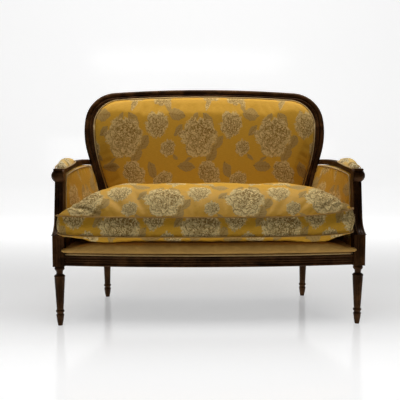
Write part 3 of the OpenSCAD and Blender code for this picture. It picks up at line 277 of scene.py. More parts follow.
def build_petals_group() -> None:
    """Builds "petals": ragged outline, overlapping petals and a crinkled heart of a woven flower."""
    graph = NodeGroup("petals", {"Local": ("Vector", None), "Seed": ("Vector", (0, 0, 0))},
                      {"Mask": "Float", "Tone": "Float"})
    ring_count, ring_turn, scallop_count, scallop_depth = 3.4, 1.3, 3.5, -0.6
    lobe_count, lobe_reach, round_reach = 3.0, 0.16, 0.80
    ragged_reach, ragged_middle, heart_place = 0.46, 0.13, (0.18, 0.2, 0.0)
    local = graph.source["Local"]
    seeded = graph.vector("ADD", local, graph.source["Seed"])
    bent = graph.swayed(graph.swayed(local, seeded, 1.9, 0.50), seeded, 6.5, 0.20)
    bent = graph.vector("MULTIPLY", bent, FLAT)
    across, up = graph.across_and_up(bent)
    far, angle = graph.vector("LENGTH", bent), graph.math("ARCTAN2", up, across)
    rings = far * ring_count
    turned = graph.math("FLOOR", rings) * ring_turn + angle * scallop_count
    scallop = graph.math("ABSOLUTE", graph.math("COSINE", turned))
    ring = graph.math("FRACT", scallop * scallop_depth + rings)
    rise = graph.span(ring, 0.0, 0.8, 0.45, 1.0, smooth=True)
    petal = rise * graph.span(ring, 0.86, 1.0, 1.0, 0.35, smooth=True)
    lobes = graph.math("ABSOLUTE", graph.math("COSINE", angle * lobe_count))
    outer = lobes * lobe_reach + round_reach
    ragged = graph.noise(seeded, 6.0, 3.0, 0.8) * ragged_reach + (outer - ragged_middle)
    mask = graph.span(ragged - far, -0.03, 0.06, smooth=True)
    cells = graph.take("ShaderNodeTexVoronoi", {"Vector": bent, "Scale": 7.5}, "Distance",
                       feature="DISTANCE_TO_EDGE")
    curl = graph.span(cells, 0.0, 0.16, smooth=True)
    heart = graph.vector("DISTANCE", local, heart_place)
    curled = graph.blend(graph.span(heart, 0.35, 0.9, 0.95, 0.3, smooth=True), 1.0, curl)
    crinkle = graph.span(graph.noise(seeded, 9.0, 3.0, 0.75), 0.34, 0.60, 0.5, 1.15)
    graph.give(Mask=mask, Tone=petal * curled * crinkle)


def build_leaf_group() -> None:
    """Builds "leaf": the outline and slanting veins of a pointed leaf."""
    graph = NodeGroup("leaf", {"Local": ("Vector", None)}, {"Mask": "Float", "Tone": "Float"})
    ragged_reach, vein_slant, vein_count = 0.5, 0.55, 3.0
    local = graph.source["Local"]
    along, aside = graph.across_and_up(local)
    across = graph.math("ABSOLUTE", aside)
    ragged = graph.noise(local, 3.0) * ragged_reach + ((1.0 - along * along) - across)
    vein = graph.math("FRACT", (along - across * vein_slant) * vein_count)
    tone = graph.span(vein, 0.0, 0.4, 0.3, 1.0) * graph.span(across, 0.0, 0.16, 0.3, 1.0)
    graph.give(Mask=graph.span(ragged, 0.18, 0.32, smooth=True), Tone=tone)


@dataclass(frozen=True)
class Motif:
    """One flower or leaf of the damask's repeat, in shares of the repeat."""

    x: float
    y: float
    long: float
    wide: float
    turn: float = 0.0


BLOOMS = (
    Motif(0.0, 0.0, 0.240, 0.235, 0.0),
    Motif(0.44, 0.152, 0.165, 0.145, 1.9),
    Motif(0.14, -0.430, 0.165, 0.130, 3.9),
    Motif(0.52, -0.505, 0.135, 0.098, 2.6),
    Motif(0.585, -0.130, 0.090, 0.105, 0.6),
    Motif(0.14, 0.425, 0.105, 0.035, 5.1),
    Motif(0.57, 0.440, 0.100, 0.040, 4.1),
)
LEAVES = (
    Motif(-0.04, 0.240, 0.060, 0.034, 2.1),
    Motif(0.13, 0.205, 0.115, 0.058, 0.9),
    Motif(0.27, -0.060, 0.100, 0.058, -1.0),
    Motif(0.17, -0.200, 0.120, 0.070, -1.15),
    Motif(-0.27, 0.080, 0.085, 0.046, 2.3),
    Motif(0.71, 0.270, 0.115, 0.076, 0.15),
    Motif(0.60, 0.345, 0.075, 0.026, 1.1),
    Motif(-0.16, -0.350, 0.120, 0.056, 0.05),
    Motif(-0.14, -0.270, 0.060, 0.020, -0.5),
    Motif(0.38, -0.385, 0.105, 0.062, 1.2),
    Motif(0.69, -0.235, 0.055, 0.024, 0.8),
)


def nearest_motif(graph: Graph, cell: Value, motifs: Sequence[Motif]) -> tuple[Value, Value]:
    """Picks, at each point, the motif that is nearest in shares of its size.

    Args:
        graph: the graph that takes the nodes.
        cell: the place in the repeat.
        motifs: the motifs to pick from.

    Returns:
        The motif's own coordinates, and a vector of its own.
    """
    for number, motif in enumerate(motifs):
        found = graph.group("motif", Cell=cell, Centre=(motif.x, motif.y, 0.0),
                            Size=(motif.long, motif.wide, 1.0), Turn=motif.turn)
        own = (3.7 * number, 1.9 * number, 0.0, 1.0)
        if number == 0:
            local, far, seed = found["Local"], found["Far"], own
            continue
        nearer = graph.math("LESS_THAN", found["Far"], far)
        local, seed = graph.mix(nearer, local, found["Local"]), graph.mix(nearer, seed, own)
        far = graph.math("MINIMUM", found["Far"], far)
    return local, seed


def build_damask_group() -> None:
    """Builds "damask": flowers and leaves of one weave, as masks, a tone and a height."""
    graph = NodeGroup(
        "damask",
        {"Cloth": ("Vector", None), "Repeat": ("Float", 0.35), "Shift": ("Vector", (0, 0, 0)),
         "Tall": ("Float", 1.15)},
        {"Flower": "Float", "Leaf": "Float", "Tone": "Float", "Height": "Float"})
    fine_scale, fine_share, coarse_scale, coarse_share = 420.0, 1.3, 150.0, 1.5
    leaf_height, low_height = 0.6, 0.3
    cloth, repeat = graph.source["Cloth"], graph.source["Repeat"]
    size = graph.take("ShaderNodeCombineXYZ", {0: repeat, 1: repeat * graph.source["Tall"], 2: 1.0})
    cell = graph.vector("DIVIDE", graph.vector("SUBTRACT", cloth, graph.source["Shift"]), size)
    cell = graph.swayed(cell, cell, 9.0, 0.06)
    local, seed = nearest_motif(graph, cell, BLOOMS)
    bloom = graph.group("petals", Local=local, Seed=seed)
    leaf = graph.group("leaf", Local=nearest_motif(graph, cell, LEAVES)[0])
    flower = bloom["Mask"]
    under = leaf["Mask"] * (1.0 - flower)
    fine, coarse = (graph.noise(cloth, scale, rough=0.6) for scale in (fine_scale, coarse_scale))
    grainy = (fine - 0.5) * fine_share + (coarse - 0.5) * coarse_share
    tone = graph.math("ADD", graph.blend(flower, leaf["Tone"], bloom["Tone"]), grainy, clamp=True)
    sewn = graph.math("MAXIMUM", flower, under * leaf_height)
    graph.give(Flower=flower, Leaf=under, Tone=tone, Height=sewn * (tone * (1 - low_height) + low_height))


def build_weave_group() -> None:
    """Builds "weave": crossing threads of a cloth as a height, with slubs as a tone."""
    graph = NodeGroup(
        "weave", {"Cloth": ("Vector", None), "Threads": ("Float", 900.0), "Rib": ("Float", 0.5)},
        {"Height": "Float", "Slub": "Float"})
    cloth, turn = graph.source["Cloth"], graph.source["Threads"] * (2 * math.pi)
    warp, weft = (graph.math("SINE", way * turn) for way in graph.across_and_up(cloth))
    ribbed = graph.blend(graph.source["Rib"], warp * weft, weft)
    slub = graph.noise(graph.vector("MULTIPLY", cloth, (60.0, 900.0, 60.0)), 1.0, 3.0, 0.6)
    graph.give(Height=slub * 0.8 + ribbed * 0.5, Slub=slub)


def build_grain_group() -> None:
    """Builds "grain": figure, pores and polish wear of stained wood."""
    graph = NodeGroup(
        "grain", {"Place": ("Vector", None), "Stretch": ("Vector", (1, 1, 0.1)), "Scale": ("Float", 30.0)},
        {"Figure": "Float", "Pore": "Float", "Worn": "Float"})
    place = graph.source["Place"]
    drawn = graph.vector("MULTIPLY", place, graph.source["Stretch"])
    bent = graph.vector("ADD", drawn, graph.scaled(graph.noise(drawn, 9.0, 3.0, output="Color"), 0.05))
    graph.give(
        Figure=graph.span(graph.noise(bent, graph.source["Scale"], 5.0, 0.62, 0.6), 0.3, 0.72, smooth=True),
        Pore=graph.span(graph.noise(drawn, 900.0, 2.0, 0.7), 0.55, 0.72),
        Worn=graph.span(graph.noise(place, 14.0, 4.0, 0.65), 0.42, 0.68, smooth=True))


def build_crease_group() -> None:
    """Builds "creases": soft undulations of stuffed cloth, as a height."""
    graph = NodeGroup("creases", {"Place": ("Vector", None), "Size": ("Float", 16.0)}, {"Height": "Float"})
    graph.give(Height=graph.noise(graph.source["Place"], graph.source["Size"], 2.0, 0.4, 0.3))


# Finishes


@dataclass(frozen=True)
class Finish:
    """A finish of the sofa: one material, made when it is first asked for."""

    name: str
    slot: str
    made: ClassVar[dict[str, bpy.types.Material]] = {}

    def material(self) -> bpy.types.Material:
        """Returns the finish's material."""
        if self.name not in Finish.made:
            material = bpy.data.materials.new(self.name)
            material.use_nodes = True
            graph = Graph(material.node_tree)
            graph.feed(material.node_tree.nodes["Principled BSDF"], self.paint(graph))
            Finish.made[self.name] = material
        return Finish.made[self.name]

    def paint(self, graph: Graph) -> dict[str, Feed]:
        """Adds the finish's nodes and returns what the shader's inputs take, by name."""
        raise NotImplementedError


@dataclass(frozen=True)
class StainedWood(Finish):
    """Wood with grain, pores and a polish that is rubbed lighter in places."""

    grain: Grain = Grain.ALONG_Z
    deep: tuple = (0.009, 0.0030, 0.0008, 1)
    warm: tuple = (0.056, 0.0215, 0.0065, 1)
    rubbed: tuple = (0.165, 0.074, 0.026, 1)
    figure_scale: float = 42.0
    figure_depth: float = 0.00012
    pore_depth: float = 0.00008
    wear: float = 0.45
    roughness: float = 0.34
    coat: float = 0.03

    def paint(self, graph: Graph) -> dict[str, Feed]:
        """Paints the figure, the pores and the rubbed polish."""
        wood = graph.group("grain", Place=graph.place(), Stretch=self.grain.value, Scale=self.figure_scale)
        colour = graph.mix(wood["Figure"], self.deep, self.warm)
        colour = graph.mix(wood["Worn"] * self.wear, colour, self.rubbed)
        colour = graph.mix(wood["Pore"] * 0.6, colour, self.deep)
        return {
            "Base Color": colour,
            "Roughness": wood["Pore"] * 0.2 + (wood["Figure"] * 0.10 + self.roughness),
            "Specular IOR Level": 0.16, "Specular Tint": (1.0, 0.56, 0.28, 1),
            "Coat Weight": self.coat, "Coat Roughness": 0.22, "Coat Tint": (1.0, 0.8, 0.6, 1),
            "Normal": graph.bump((wood["Figure"], self.figure_depth),
                                 (1.0 - wood["Pore"] * 0.8, self.pore_depth))}


@dataclass(frozen=True)
class FlowerDamask(Finish):
    """Gold satin with flowers in a duller taupe thread."""

    repeat: float = 0.35
    shift: tuple = (0.0, 0.0)
    ground: tuple = (0.60, 0.322, 0.032, 1)
    ground_shade: tuple = (0.49, 0.250, 0.021, 1)
    flower: tuple = (0.66, 0.46, 0.18, 1)
    flower_shade: tuple = (0.185, 0.100, 0.022, 1)
    leaf: tuple = (0.36, 0.225, 0.070, 1)
    sheen: float = 0.06
    crease: float = 0.0003
    drawing: float = 0.92
    relief: float = 0.0006
    threads: float = 820.0
    thread_depth: float = 0.00012
    crease_scale: float = 18.0

    def paint(self, graph: Graph) -> dict[str, Feed]:
        """Paints the ground, the flowers and leaves, and their threads."""
        cloth = graph.cloth()
        drawn = graph.group("damask", Cloth=cloth, Repeat=self.repeat, Shift=(*self.shift, 0.0))
        weave = graph.group("weave", Cloth=cloth, Threads=self.threads, Rib=0.6)
        creases = graph.group("creases", Place=graph.place(), Size=self.crease_scale)
        ground = graph.mix(graph.span(weave["Slub"], 0.35, 0.65), self.ground_shade, self.ground)
        petals = graph.mix(graph.span(drawn["Tone"], 0.1, 0.85), self.flower_shade, self.flower)
        leaves = graph.mix(graph.span(drawn["Tone"], 0.0, 0.75), self.flower_shade, self.leaf)
        colour = graph.mix(drawn["Leaf"] * 0.9, ground, leaves)
        sewn = graph.math("MAXIMUM", drawn["Flower"], drawn["Leaf"])
        return {
            "Base Color": graph.mix(drawn["Flower"] * self.drawing, colour, petals),
            "Roughness": graph.blend(sewn, 0.48, 0.82),
            "Specular IOR Level": 0.16, "Specular Tint": (1.0, 0.80, 0.45, 1),
            "Sheen Weight": self.sheen, "Sheen Roughness": 0.45, "Sheen Tint": (1.0, 0.86, 0.6, 1),
            "Normal": graph.bump((creases["Height"], self.crease), (drawn["Height"], self.relief),
                                 (weave["Height"], self.thread_depth))}


@dataclass(frozen=True)
class PlainCloth(Finish):
    """A plain woven cloth on the piece's own coordinates, or on its cloth map."""

    light: tuple = (0.56, 0.36, 0.12, 1)
    dark: tuple = (0.42, 0.25, 0.07, 1)
    threads: float = 700.0
    rib: float = 0.4
    sheen: float = 0.2
    roughness: float = 0.69
    mapped: bool = True
    crease: float = 0.0008
    crease_scale: float = 22.0
    thread_depth: float = 0.00018

    def paint(self, graph: Graph) -> dict[str, Feed]:
        """Paints threads, slubs and soft creases."""
        place = graph.place()
        cloth = graph.cloth() if self.mapped else place
        weave = graph.group("weave", Cloth=cloth, Threads=self.threads, Rib=self.rib)
        creases = graph.group("creases", Place=place, Size=self.crease_scale)
        blotch = graph.span(graph.noise(place, 9.0, 3.0, 0.6), 0.3, 0.7, 0.82, 1.0)
        colour = graph.mix(graph.span(weave["Slub"], 0.3, 0.7), self.dark, self.light)
        return {
            "Base Color": graph.take("ShaderNodeHueSaturation", {"Value": blotch, "Color": colour}),
            "Roughness": weave["Slub"] * 0.12 + self.roughness, "Specular IOR Level": 0.3,
            "Sheen Weight": self.sheen, "Sheen Roughness": 0.5,
            "Normal": graph.bump((creases["Height"], self.crease), (weave["Height"], self.thread_depth))}


@dataclass(frozen=True)
class PlainSteel(Finish):
    """Bright steel with fine turning marks."""

    def paint(self, graph: Graph) -> dict[str, Feed]:
        """Paints turned steel with a little tarnish."""
        place = graph.place()
        marks = graph.noise(graph.vector("MULTIPLY", place, (1.0, 12.0, 1.0)), 600.0)
        tarnish = graph.span(graph.noise(place, 60.0, 3.0), 0.4, 0.7)
        return {
            "Base Color": graph.mix(tarnish, (0.56, 0.56, 0.58, 1), (0.40, 0.37, 0.33, 1)),
            "Roughness": graph.span(marks, 0.3, 0.7, 0.25, 0.42), "Metallic": 1.0,
            "Normal": graph.bump((marks, 0.00004))}


WOOD_Z = StainedWood("walnut_stain_upright", "dark_wood", grain=Grain.ALONG_Z)
WOOD_X = StainedWood("walnut_stain_level", "dark_wood", grain=Grain.ALONG_X)
WOOD_Y = StainedWood("walnut_stain_deep", "dark_wood", grain=Grain.ALONG_Y)
# The pearls' finish is lighter than the frame's wood: partly rubbed wear, partly a painted highlight.
RUBBED_GLINT_PEARL_WOOD = StainedWood(
    "pearls_rubbed_and_painted_glint", "dark_wood", deep=(0.08, 0.045, 0.022, 1), warm=(0.26, 0.16, 0.09, 1),
    rubbed=(0.60, 0.46, 0.32, 1), roughness=0.22, coat=0.3)
BEECH = StainedWood(
    "bare_beech", "inner_wood", grain=Grain.ALONG_X, deep=(0.30, 0.19, 0.10, 1), warm=(0.52, 0.37, 0.22, 1),
    rubbed=(0.58, 0.43, 0.28, 1), roughness=0.62, coat=0.0)
BACK_DAMASK = FlowerDamask("damask_back", "damask", repeat=0.35, shift=(-0.031, 0.493))
# The cushion's damask has a lighter ground and lighter flowers than the back's: painted sheen and light on
# its top.
CUSHION_DAMASK_PAINTED_SHEEN = FlowerDamask(
    "damask_cushion_painted_sheen", "damask", repeat=0.318, shift=(-0.179, 0.150), sheen=0.02, crease=0.0010,
    ground=(0.70, 0.375, 0.034, 1), ground_shade=(0.57, 0.290, 0.022, 1), flower=(0.86, 0.67, 0.31, 1),
    leaf=(0.44, 0.29, 0.10, 1))
# The sides' damask has a darker ground and fainter flowers than the back's: painted shade.
SIDE_DAMASK_PAINTED_SHADE = FlowerDamask(
    "damask_sides_painted_shade", "damask", repeat=0.36, shift=(-0.055, 0.42), drawing=0.8, ground=(0.50, 0.255, 0.022, 1),
    ground_shade=(0.40, 0.195, 0.014, 1))
# The arm pads' damask has a lighter ground and lighter flowers than the back's: painted light on the arm
# tops.
ARM_DAMASK_PAINTED_LIGHT = FlowerDamask(
    "damask_arms_painted_light", "damask", repeat=0.21, shift=(0.10, 0.02), sheen=0.25, ground=(0.80, 0.54, 0.16, 1),
    ground_shade=(0.62, 0.38, 0.08, 1), flower=(0.92, 0.76, 0.44, 1))
PLAIN_GOLD = PlainCloth(
    "plain_gold_cloth", "plain_gold", light=(0.64, 0.36, 0.085, 1), dark=(0.48, 0.26, 0.05, 1), sheen=0.08)
WELT_GOLD = PlainCloth(
    "welt_cloth", "piping", light=(0.66, 0.46, 0.19, 1), dark=(0.46, 0.29, 0.10, 1), threads=900.0,
    mapped=False, crease=0.0004)
BOX_WELT = PlainCloth(
    "box_welt_cloth", "piping", light=(0.56, 0.31, 0.065, 1), dark=(0.40, 0.20, 0.035, 1), threads=900.0,
    mapped=False, crease=0.0004)
JUTE = PlainCloth(
    "jute_webbing", "webbing", light=(0.50, 0.38, 0.22, 1), dark=(0.26, 0.18, 0.10, 1), threads=330.0,
    rib=0.1, sheen=0.05, roughness=0.84, crease=0.0002)
DUST_CLOTH = PlainCloth(
    "black_dust_cloth", "dust_cloth", light=(0.022, 0.022, 0.023, 1), dark=(0.010, 0.010, 0.010, 1),
    threads=600.0, sheen=0.1, roughness=0.84)
STEEL = PlainSteel("screw_steel", "screw_steel")


# Helpers for meshes


def ramp(values: Points, start: float, width: float) -> Points:
    """Returns 0 up to a start, and from there an even rise to 1."""
    return np.clip((values - start) / width, 0, 1)


def eased(share: Points) -> Points:
    """Returns a smooth step from 0 to 1."""
    share = np.clip(share, 0, 1)
    return share * share * (3 - 2 * share)


def bell(distance: Points, width: float) -> Points:
    """Returns 1 at no distance, falling smoothly to 0."""
    return np.exp(-(distance / width) ** 2)


def waves(along: Points, pitches: Sequence[float], seed: int) -> Points:
    """Returns a sum of waves of several pitches with fixed, uneven phases, from about -1 to 1."""
    phases = np.random.default_rng(seed).uniform(0, 2 * math.pi, len(pitches))
    total = sum(np.sin(2 * math.pi * along / pitch + phase) for pitch, phase in zip(pitches, phases))
    return total / math.sqrt(len(pitches))


def rows_of(items: bpy.types.bpy_prop_collection, name: str) -> Points:
    """Returns a value of three parts, such as a vertex's place, as a row for each item."""
    rows = np.empty(len(items) * 3, np.float32)
    items.foreach_get(name, rows)
    return rows.reshape(-1, 3)


def coordinates(mesh: bpy.types.Mesh) -> Points:
    """Returns a mesh's vertices as rows of x, y and z."""
    return rows_of(mesh.vertices, "co").astype(float)


def normals_of(mesh: bpy.types.Mesh) -> Points:
    """Returns the normal at each vertex."""
    return rows_of(mesh.vertex_normals, "vector").astype(float)


def move_to(piece: Piece, rows: Points) -> Piece:
    """Writes new places for a piece's vertices and returns the piece."""
    piece.data.vertices.foreach_set("co", rows.astype(np.float32).ravel())
    piece.data.update()
    return piece


def pushed(piece: Piece, out: float | Points) -> Piece:
    """Moves a piece's vertices outwards, by one length or by one for each, and returns the piece."""
    return move_to(piece, coordinates(piece.data) + normals_of(piece.data) * np.atleast_1d(out)[:, None])


def linked(name: str, data: bpy.types.ID) -> Piece:
    """Puts a mesh, curve, light or camera into the scene as an object of that name."""
    piece = bpy.data.objects.new(name, data)
    bpy.context.scene.collection.objects.link(piece)
    return piece


def cad_copy(node: str, name: str) -> Piece:
    """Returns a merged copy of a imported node's mesh as a new piece."""
    piece = linked(name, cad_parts[node].data.copy())
    piece.data.materials.clear()
    work = bmesh.new()
    work.from_mesh(piece.data)
    bmesh.ops.remove_doubles(work, verts=work.verts, dist=2e-5)
    bmesh.ops.recalc_face_normals(work, faces=work.faces)
    work.to_mesh(piece.data)
    work.free()
    return piece


def evaluated_mesh(piece: Piece) -> bpy.types.Mesh:
    """Returns what a piece's modifiers make of it, as a plain mesh."""
    bpy.context.view_layer.update()
    graph = bpy.context.evaluated_depsgraph_get()
    return bpy.data.meshes.new_from_object(piece.evaluated_get(graph), depsgraph=graph)


def modified(piece: Piece, kind: str, **settings: object) -> Piece:
    """Applies one modifier to a piece.

    Args:
        piece: the piece.
        kind: Blender's name of the modifier type.
        settings: the modifier's own properties.

    Returns:
        The piece.
    """
    modifier = piece.modifiers.new(kind.lower(), kind)
    for name, value in settings.items():
        setattr(modifier, name, value)
    mesh = evaluated_mesh(piece)
    piece.modifiers.clear()
    piece.data = mesh
    mesh.name = piece.name
    return piece


def remeshed(piece: Piece, voxel: float) -> Piece:
    """Gives a piece an even mesh of small squares."""
    return modified(piece, "REMESH", mode="VOXEL", voxel_size=voxel)


def subdivided(piece: Piece, levels: int = 1) -> Piece:
    """Rounds a piece with a subdivision surface."""
    return modified(piece, "SUBSURF", levels=levels, render_levels=levels)


def relaxed(piece: Piece, rounds: int, share: Points | None = None) -> Piece:
    """Smooths a piece where its share is not nought.

    Args:
        piece: the piece.
        rounds: how many times each vertex moves towards its neighbours.
        share: from 0, held, to 1, free, for each vertex.

    Returns:
        The piece.
    """
    limit = {}
    if share is not None:
        grouped(piece, "relaxed", share)
        limit["vertex_group"] = "relaxed"
    return modified(piece, "SMOOTH", factor=0.5, iterations=rounds, **limit)


def grouped(piece: Piece, name: str, weights: Points) -> None:
    """Writes a vertex group, in steps of a tenth."""
    group = piece.vertex_groups.get(name) or piece.vertex_groups.new(name=name)
    steps = np.round(weights * 10).astype(int)
    for step in range(11):
        chosen = np.nonzero(steps == step)[0]
        if len(chosen):
            group.add(chosen.tolist(), step / 10, "REPLACE")


def lay_cloth(piece: Piece, lay: Lay) -> Piece:
    """Writes the cloth map, in metres, at each corner of each face.

    Args:
        piece: the piece.
        lay: takes the corners' points, their faces' middles and normals, and returns u and v.

    Returns:
        The piece.
    """
    mesh = piece.data
    corner, count = np.empty(len(mesh.loops), np.int32), np.empty(len(mesh.polygons), np.int32)
    mesh.loops.foreach_get("vertex_index", corner)
    mesh.polygons.foreach_get("loop_total", count)
    face = np.repeat(np.arange(len(mesh.polygons)), count)
    rows = lay(coordinates(mesh)[corner], rows_of(mesh.polygons, "center")[face],
               rows_of(mesh.polygons, "normal")[face])
    layer = mesh.uv_layers.get(CLOTH_MAP) or mesh.uv_layers.new(name=CLOTH_MAP)
    layer.uv.foreach_set("vector", rows.astype(np.float32).ravel())
    return piece


def flat_cloth(across: Sequence[float], up: Sequence[float]) -> Lay:
    """Returns a way to lay cloth flat along two directions."""
    axes = np.array([across, up], float).T
    return lambda points, _middles, _normals: points @ axes


def shaded(piece: Piece, angle: float | None = None) -> Piece:
    """Shades a piece smooth, all over or up to an angle in degrees."""
    piece.data.shade_smooth()
    if angle is not None:
        piece.data.set_sharp_from_angle(angle=math.radians(angle))
    return piece


def finished(piece: Piece, finish: Finish, body: str, *nodes: str) -> Piece:
    """Gives a piece its finish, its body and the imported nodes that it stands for."""
    piece.data.materials.clear()
    piece.data.materials.append(finish.material())
    if nodes:
        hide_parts(*nodes)
    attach(piece, body)
    LOG.info("%s: %d vertices, finish %s, on %s", piece.name, len(piece.data.vertices), finish.name, body)
    return piece


def tacked(node: str, name: str, finish: Finish, lay: Lay) -> Piece:
    """Returns a packed strap or flat cover as a piece of the frame, with cloth laid on it."""
    return finished(lay_cloth(cad_copy(node, name), lay), finish, BODY, node)


def gold_welt(node: str, name: str, swell: float = 0.0002) -> Piece:
    """Returns a packed piping as a rounder piece of the frame, in gold cloth."""
    return shaded(finished(pushed(subdivided(cad_copy(node, name), 2), swell), WELT_GOLD, BODY, node))


def obstacle(nodes: Sequence[str]) -> BVHTree:
    """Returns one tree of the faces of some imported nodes."""
    points, faces = [], []
    for node in nodes:
        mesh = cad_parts[node].data
        start = len(points)
        points.extend(v.co.copy() for v in mesh.vertices)
        faces.extend([start + i for i in face.vertices] for face in mesh.polygons)
    return BVHTree.FromPolygons(points, faces)


def kept_clear(start: Points, moved: Points, nodes: Sequence[str], share: float = 0.45) -> Points:
    """Shortens moves that would bring a piece near its neighbours.

    Args:
        start: the places before the move.
        moved: the places after it.
        nodes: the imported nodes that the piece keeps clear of.
        share: the share of the first gap that a vertex may cross.

    Returns:
        The places to use.
    """
    tree = obstacle(nodes)
    step = moved - start
    length = np.linalg.norm(step, axis=1)
    reach = float(length.max()) / share + 1e-6
    for i in np.nonzero(length > 1e-5)[0]:
        found = tree.find_nearest(start[i], reach)
        if found[3] is not None and length[i] > share * found[3]:
            step[i] *= share * found[3] / length[i]
    return start + step


def away_from(node: str, piece: Piece, near: float, far: float) -> Points:
    """Returns for each vertex 0 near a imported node, rising to 1 at some distance from it."""
    tree = obstacle([node])
    reach = [tree.find_nearest(point, far)[3] for point in coordinates(piece.data)]
    return ramp(np.array([far if distance is None else distance for distance in reach]), near, far - near)


# Stuffing by cloth simulation


@dataclass
class Stuffed:
    """A pad that waits for its stuffing, with what is held at its seams and what it keeps clear of."""

    piece: Piece
    held: Points
    cap: float
    nodes: Sequence[str]
    fullness: float
    pressure: float
    rest: Points = field(init=False)

    def __post_init__(self) -> None:
        """Notes the pad's places before it is stuffed."""
        self.rest = coordinates(self.piece.data)


class Workshop:
    """Stuffs all pads in one run of the cloth solver."""

    LAST_FRAME: ClassVar[int] = 20
    QUICK_SHARE: ClassVar[float] = 0.4

    def __init__(self) -> None:
        """Starts with no pads."""
        self.pads: list[Stuffed] = []

    def run(self) -> None:
        """Blows up each cover under pressure, caps how far it moved and keeps it clear."""
        scene = bpy.context.scene
        scene.frame_start, scene.frame_end = 1, self.LAST_FRAME
        for pad in self.pads:
            self.fit_cloth(pad)
        for number in range(1, self.LAST_FRAME + 1):
            scene.frame_set(number)
        graph = bpy.context.evaluated_depsgraph_get()
        steps = [coordinates(pad.piece.evaluated_get(graph).to_mesh()) - pad.rest for pad in self.pads]
        for pad, step in zip(self.pads, steps):
            pad.piece.modifiers.clear()
            length = np.linalg.norm(step, axis=1, keepdims=True)
            step *= np.minimum(1.0, pad.cap / np.maximum(length, 1e-9))
            move_to(pad.piece, kept_clear(pad.rest, pad.rest + step, pad.nodes))
            LOG.info("%s stuffed, moved up to %.1f mm", pad.piece.name, 1000 * min(pad.cap, length.max()))
        scene.frame_set(1)

    def fit_cloth(self, pad: Stuffed) -> None:
        """Puts the cloth modifier on a pad."""
        grouped(pad.piece, "held", pad.held)
        cloth = pad.piece.modifiers.new("stuffing", "CLOTH")
        for name, value in {
                "quality": 6, "mass": 0.25, "tension_stiffness": 18.0, "compression_stiffness": 18.0,
                "shear_stiffness": 6.0, "bending_stiffness": 0.6, "shrink_min": -pad.fullness,
                "use_pressure": True, "uniform_pressure_force": pad.pressure, "vertex_group_mass": "held",
                "pin_stiffness": 1.0}.items():
            setattr(cloth.settings, name, value)
        cloth.settings.effector_weights.gravity = 0.0
        cloth.collision_settings.use_collision = False
        cloth.point_cache.frame_start, cloth.point_cache.frame_end = 1, self.LAST_FRAME


# Rows and seams


def build_row_tree() -> None:
    """Builds "row": small domes of uneven size along a curve, such as carved pearls."""
    graph = NodeGroup(
        "row", {"Geometry": ("Geometry", None), "Spacing": ("Float", 0.009), "Radius": ("Float", 0.003),
                "Flatness": ("Float", 1.0), "Finish": ("Material", None)},
        {"Geometry": "Geometry"}, "GeometryNodeTree")
    spots = graph.take("GeometryNodeCurveToPoints", {
        "Curve": graph.source["Geometry"], "Length": graph.source["Spacing"]}, "Points", mode="LENGTH")
    dome = graph.take("GeometryNodeMeshUVSphere", {
        "Segments": 12, "Rings": 8, "Radius": graph.source["Radius"]}, "Mesh")
    size = graph.take("ShaderNodeCombineXYZ", {0: 1.0, 1: 1.0, 2: graph.source["Flatness"]})
    uneven = graph.take("FunctionNodeRandomValue", {"Min": 0.92, "Max": 1.06, "Seed": 4}, "Value",
                        data_type="FLOAT")
    many = graph.take("GeometryNodeInstanceOnPoints", {
        "Points": spots, "Instance": dome, "Scale": graph.scaled(size, uneven)})
    real = graph.take("GeometryNodeRealizeInstances", {"Geometry": many})
    smooth = graph.take("GeometryNodeSetShadeSmooth", {"Geometry": real})
    graph.give(Geometry=graph.take("GeometryNodeSetMaterial", {
        "Geometry": smooth, "Material": graph.source["Finish"]}))


def row_along(name: str, paths: Sequence[Points], **values: object) -> Piece:
    """Makes one piece by running the tree "row" along some paths.

    Args:
        name: the piece's name.
        paths: rows of points, one path each.
        values: the tree's inputs, by name.

    Returns:
        The piece, as a plain mesh at the origin.
    """
    curve = bpy.data.curves.new(name + "_path", "CURVE")
    curve.dimensions = "3D"
    for path in paths:
        spline = curve.splines.new("POLY")
        spline.points.add(len(path) - 1)
        spline.points.foreach_set("co", np.hstack([path, np.ones((len(path), 1))]).astype(np.float32).ravel())
    guide = linked(name + "_path", curve)
    modifier = guide.modifiers.new("row", "NODES")
    modifier.node_group = bpy.data.node_groups["row"]
    for item in modifier.node_group.interface.items_tree:
        if item.in_out == "INPUT" and item.name in values:
            modifier[item.identifier] = values[item.name]
    mesh = evaluated_mesh(guide)
    bpy.data.objects.remove(guide)
    return linked(name, mesh)


class Seam:
    """A closed seam line that other shapes ask for their distance to it and their place along it."""

    SPACING: ClassVar[float] = 0.004

    def __init__(self, path: Points) -> None:
        """Spaces the path's points evenly and keeps them in a tree."""
        rows = np.vstack([path, path[:1]])
        at = np.concatenate([[0.0], np.cumsum(np.linalg.norm(np.diff(rows, axis=0), axis=1))])
        self.at = np.linspace(0, at[-1], int(at[-1] / self.SPACING), endpoint=False)
        self.points = np.stack([np.interp(self.at, at, rows[:, k]) for k in range(3)], axis=1)
        ahead = np.roll(self.points, -1, axis=0) - np.roll(self.points, 1, axis=0)
        self.ahead = ahead / np.linalg.norm(ahead, axis=1, keepdims=True)
        self.tree = KDTree(len(self.points))
        for i, point in enumerate(self.points):
            self.tree.insert(point, i)
        self.tree.balance()

    def nearest(self, points: Points) -> tuple[Points, Points]:
        """Returns for each point the nearest seam point's number and the distance to it."""
        found = [self.tree.find(point) for point in points]
        return np.array([f[1] for f in found]), np.array([f[2] for f in found])


# Places shared by the sub-assemblies


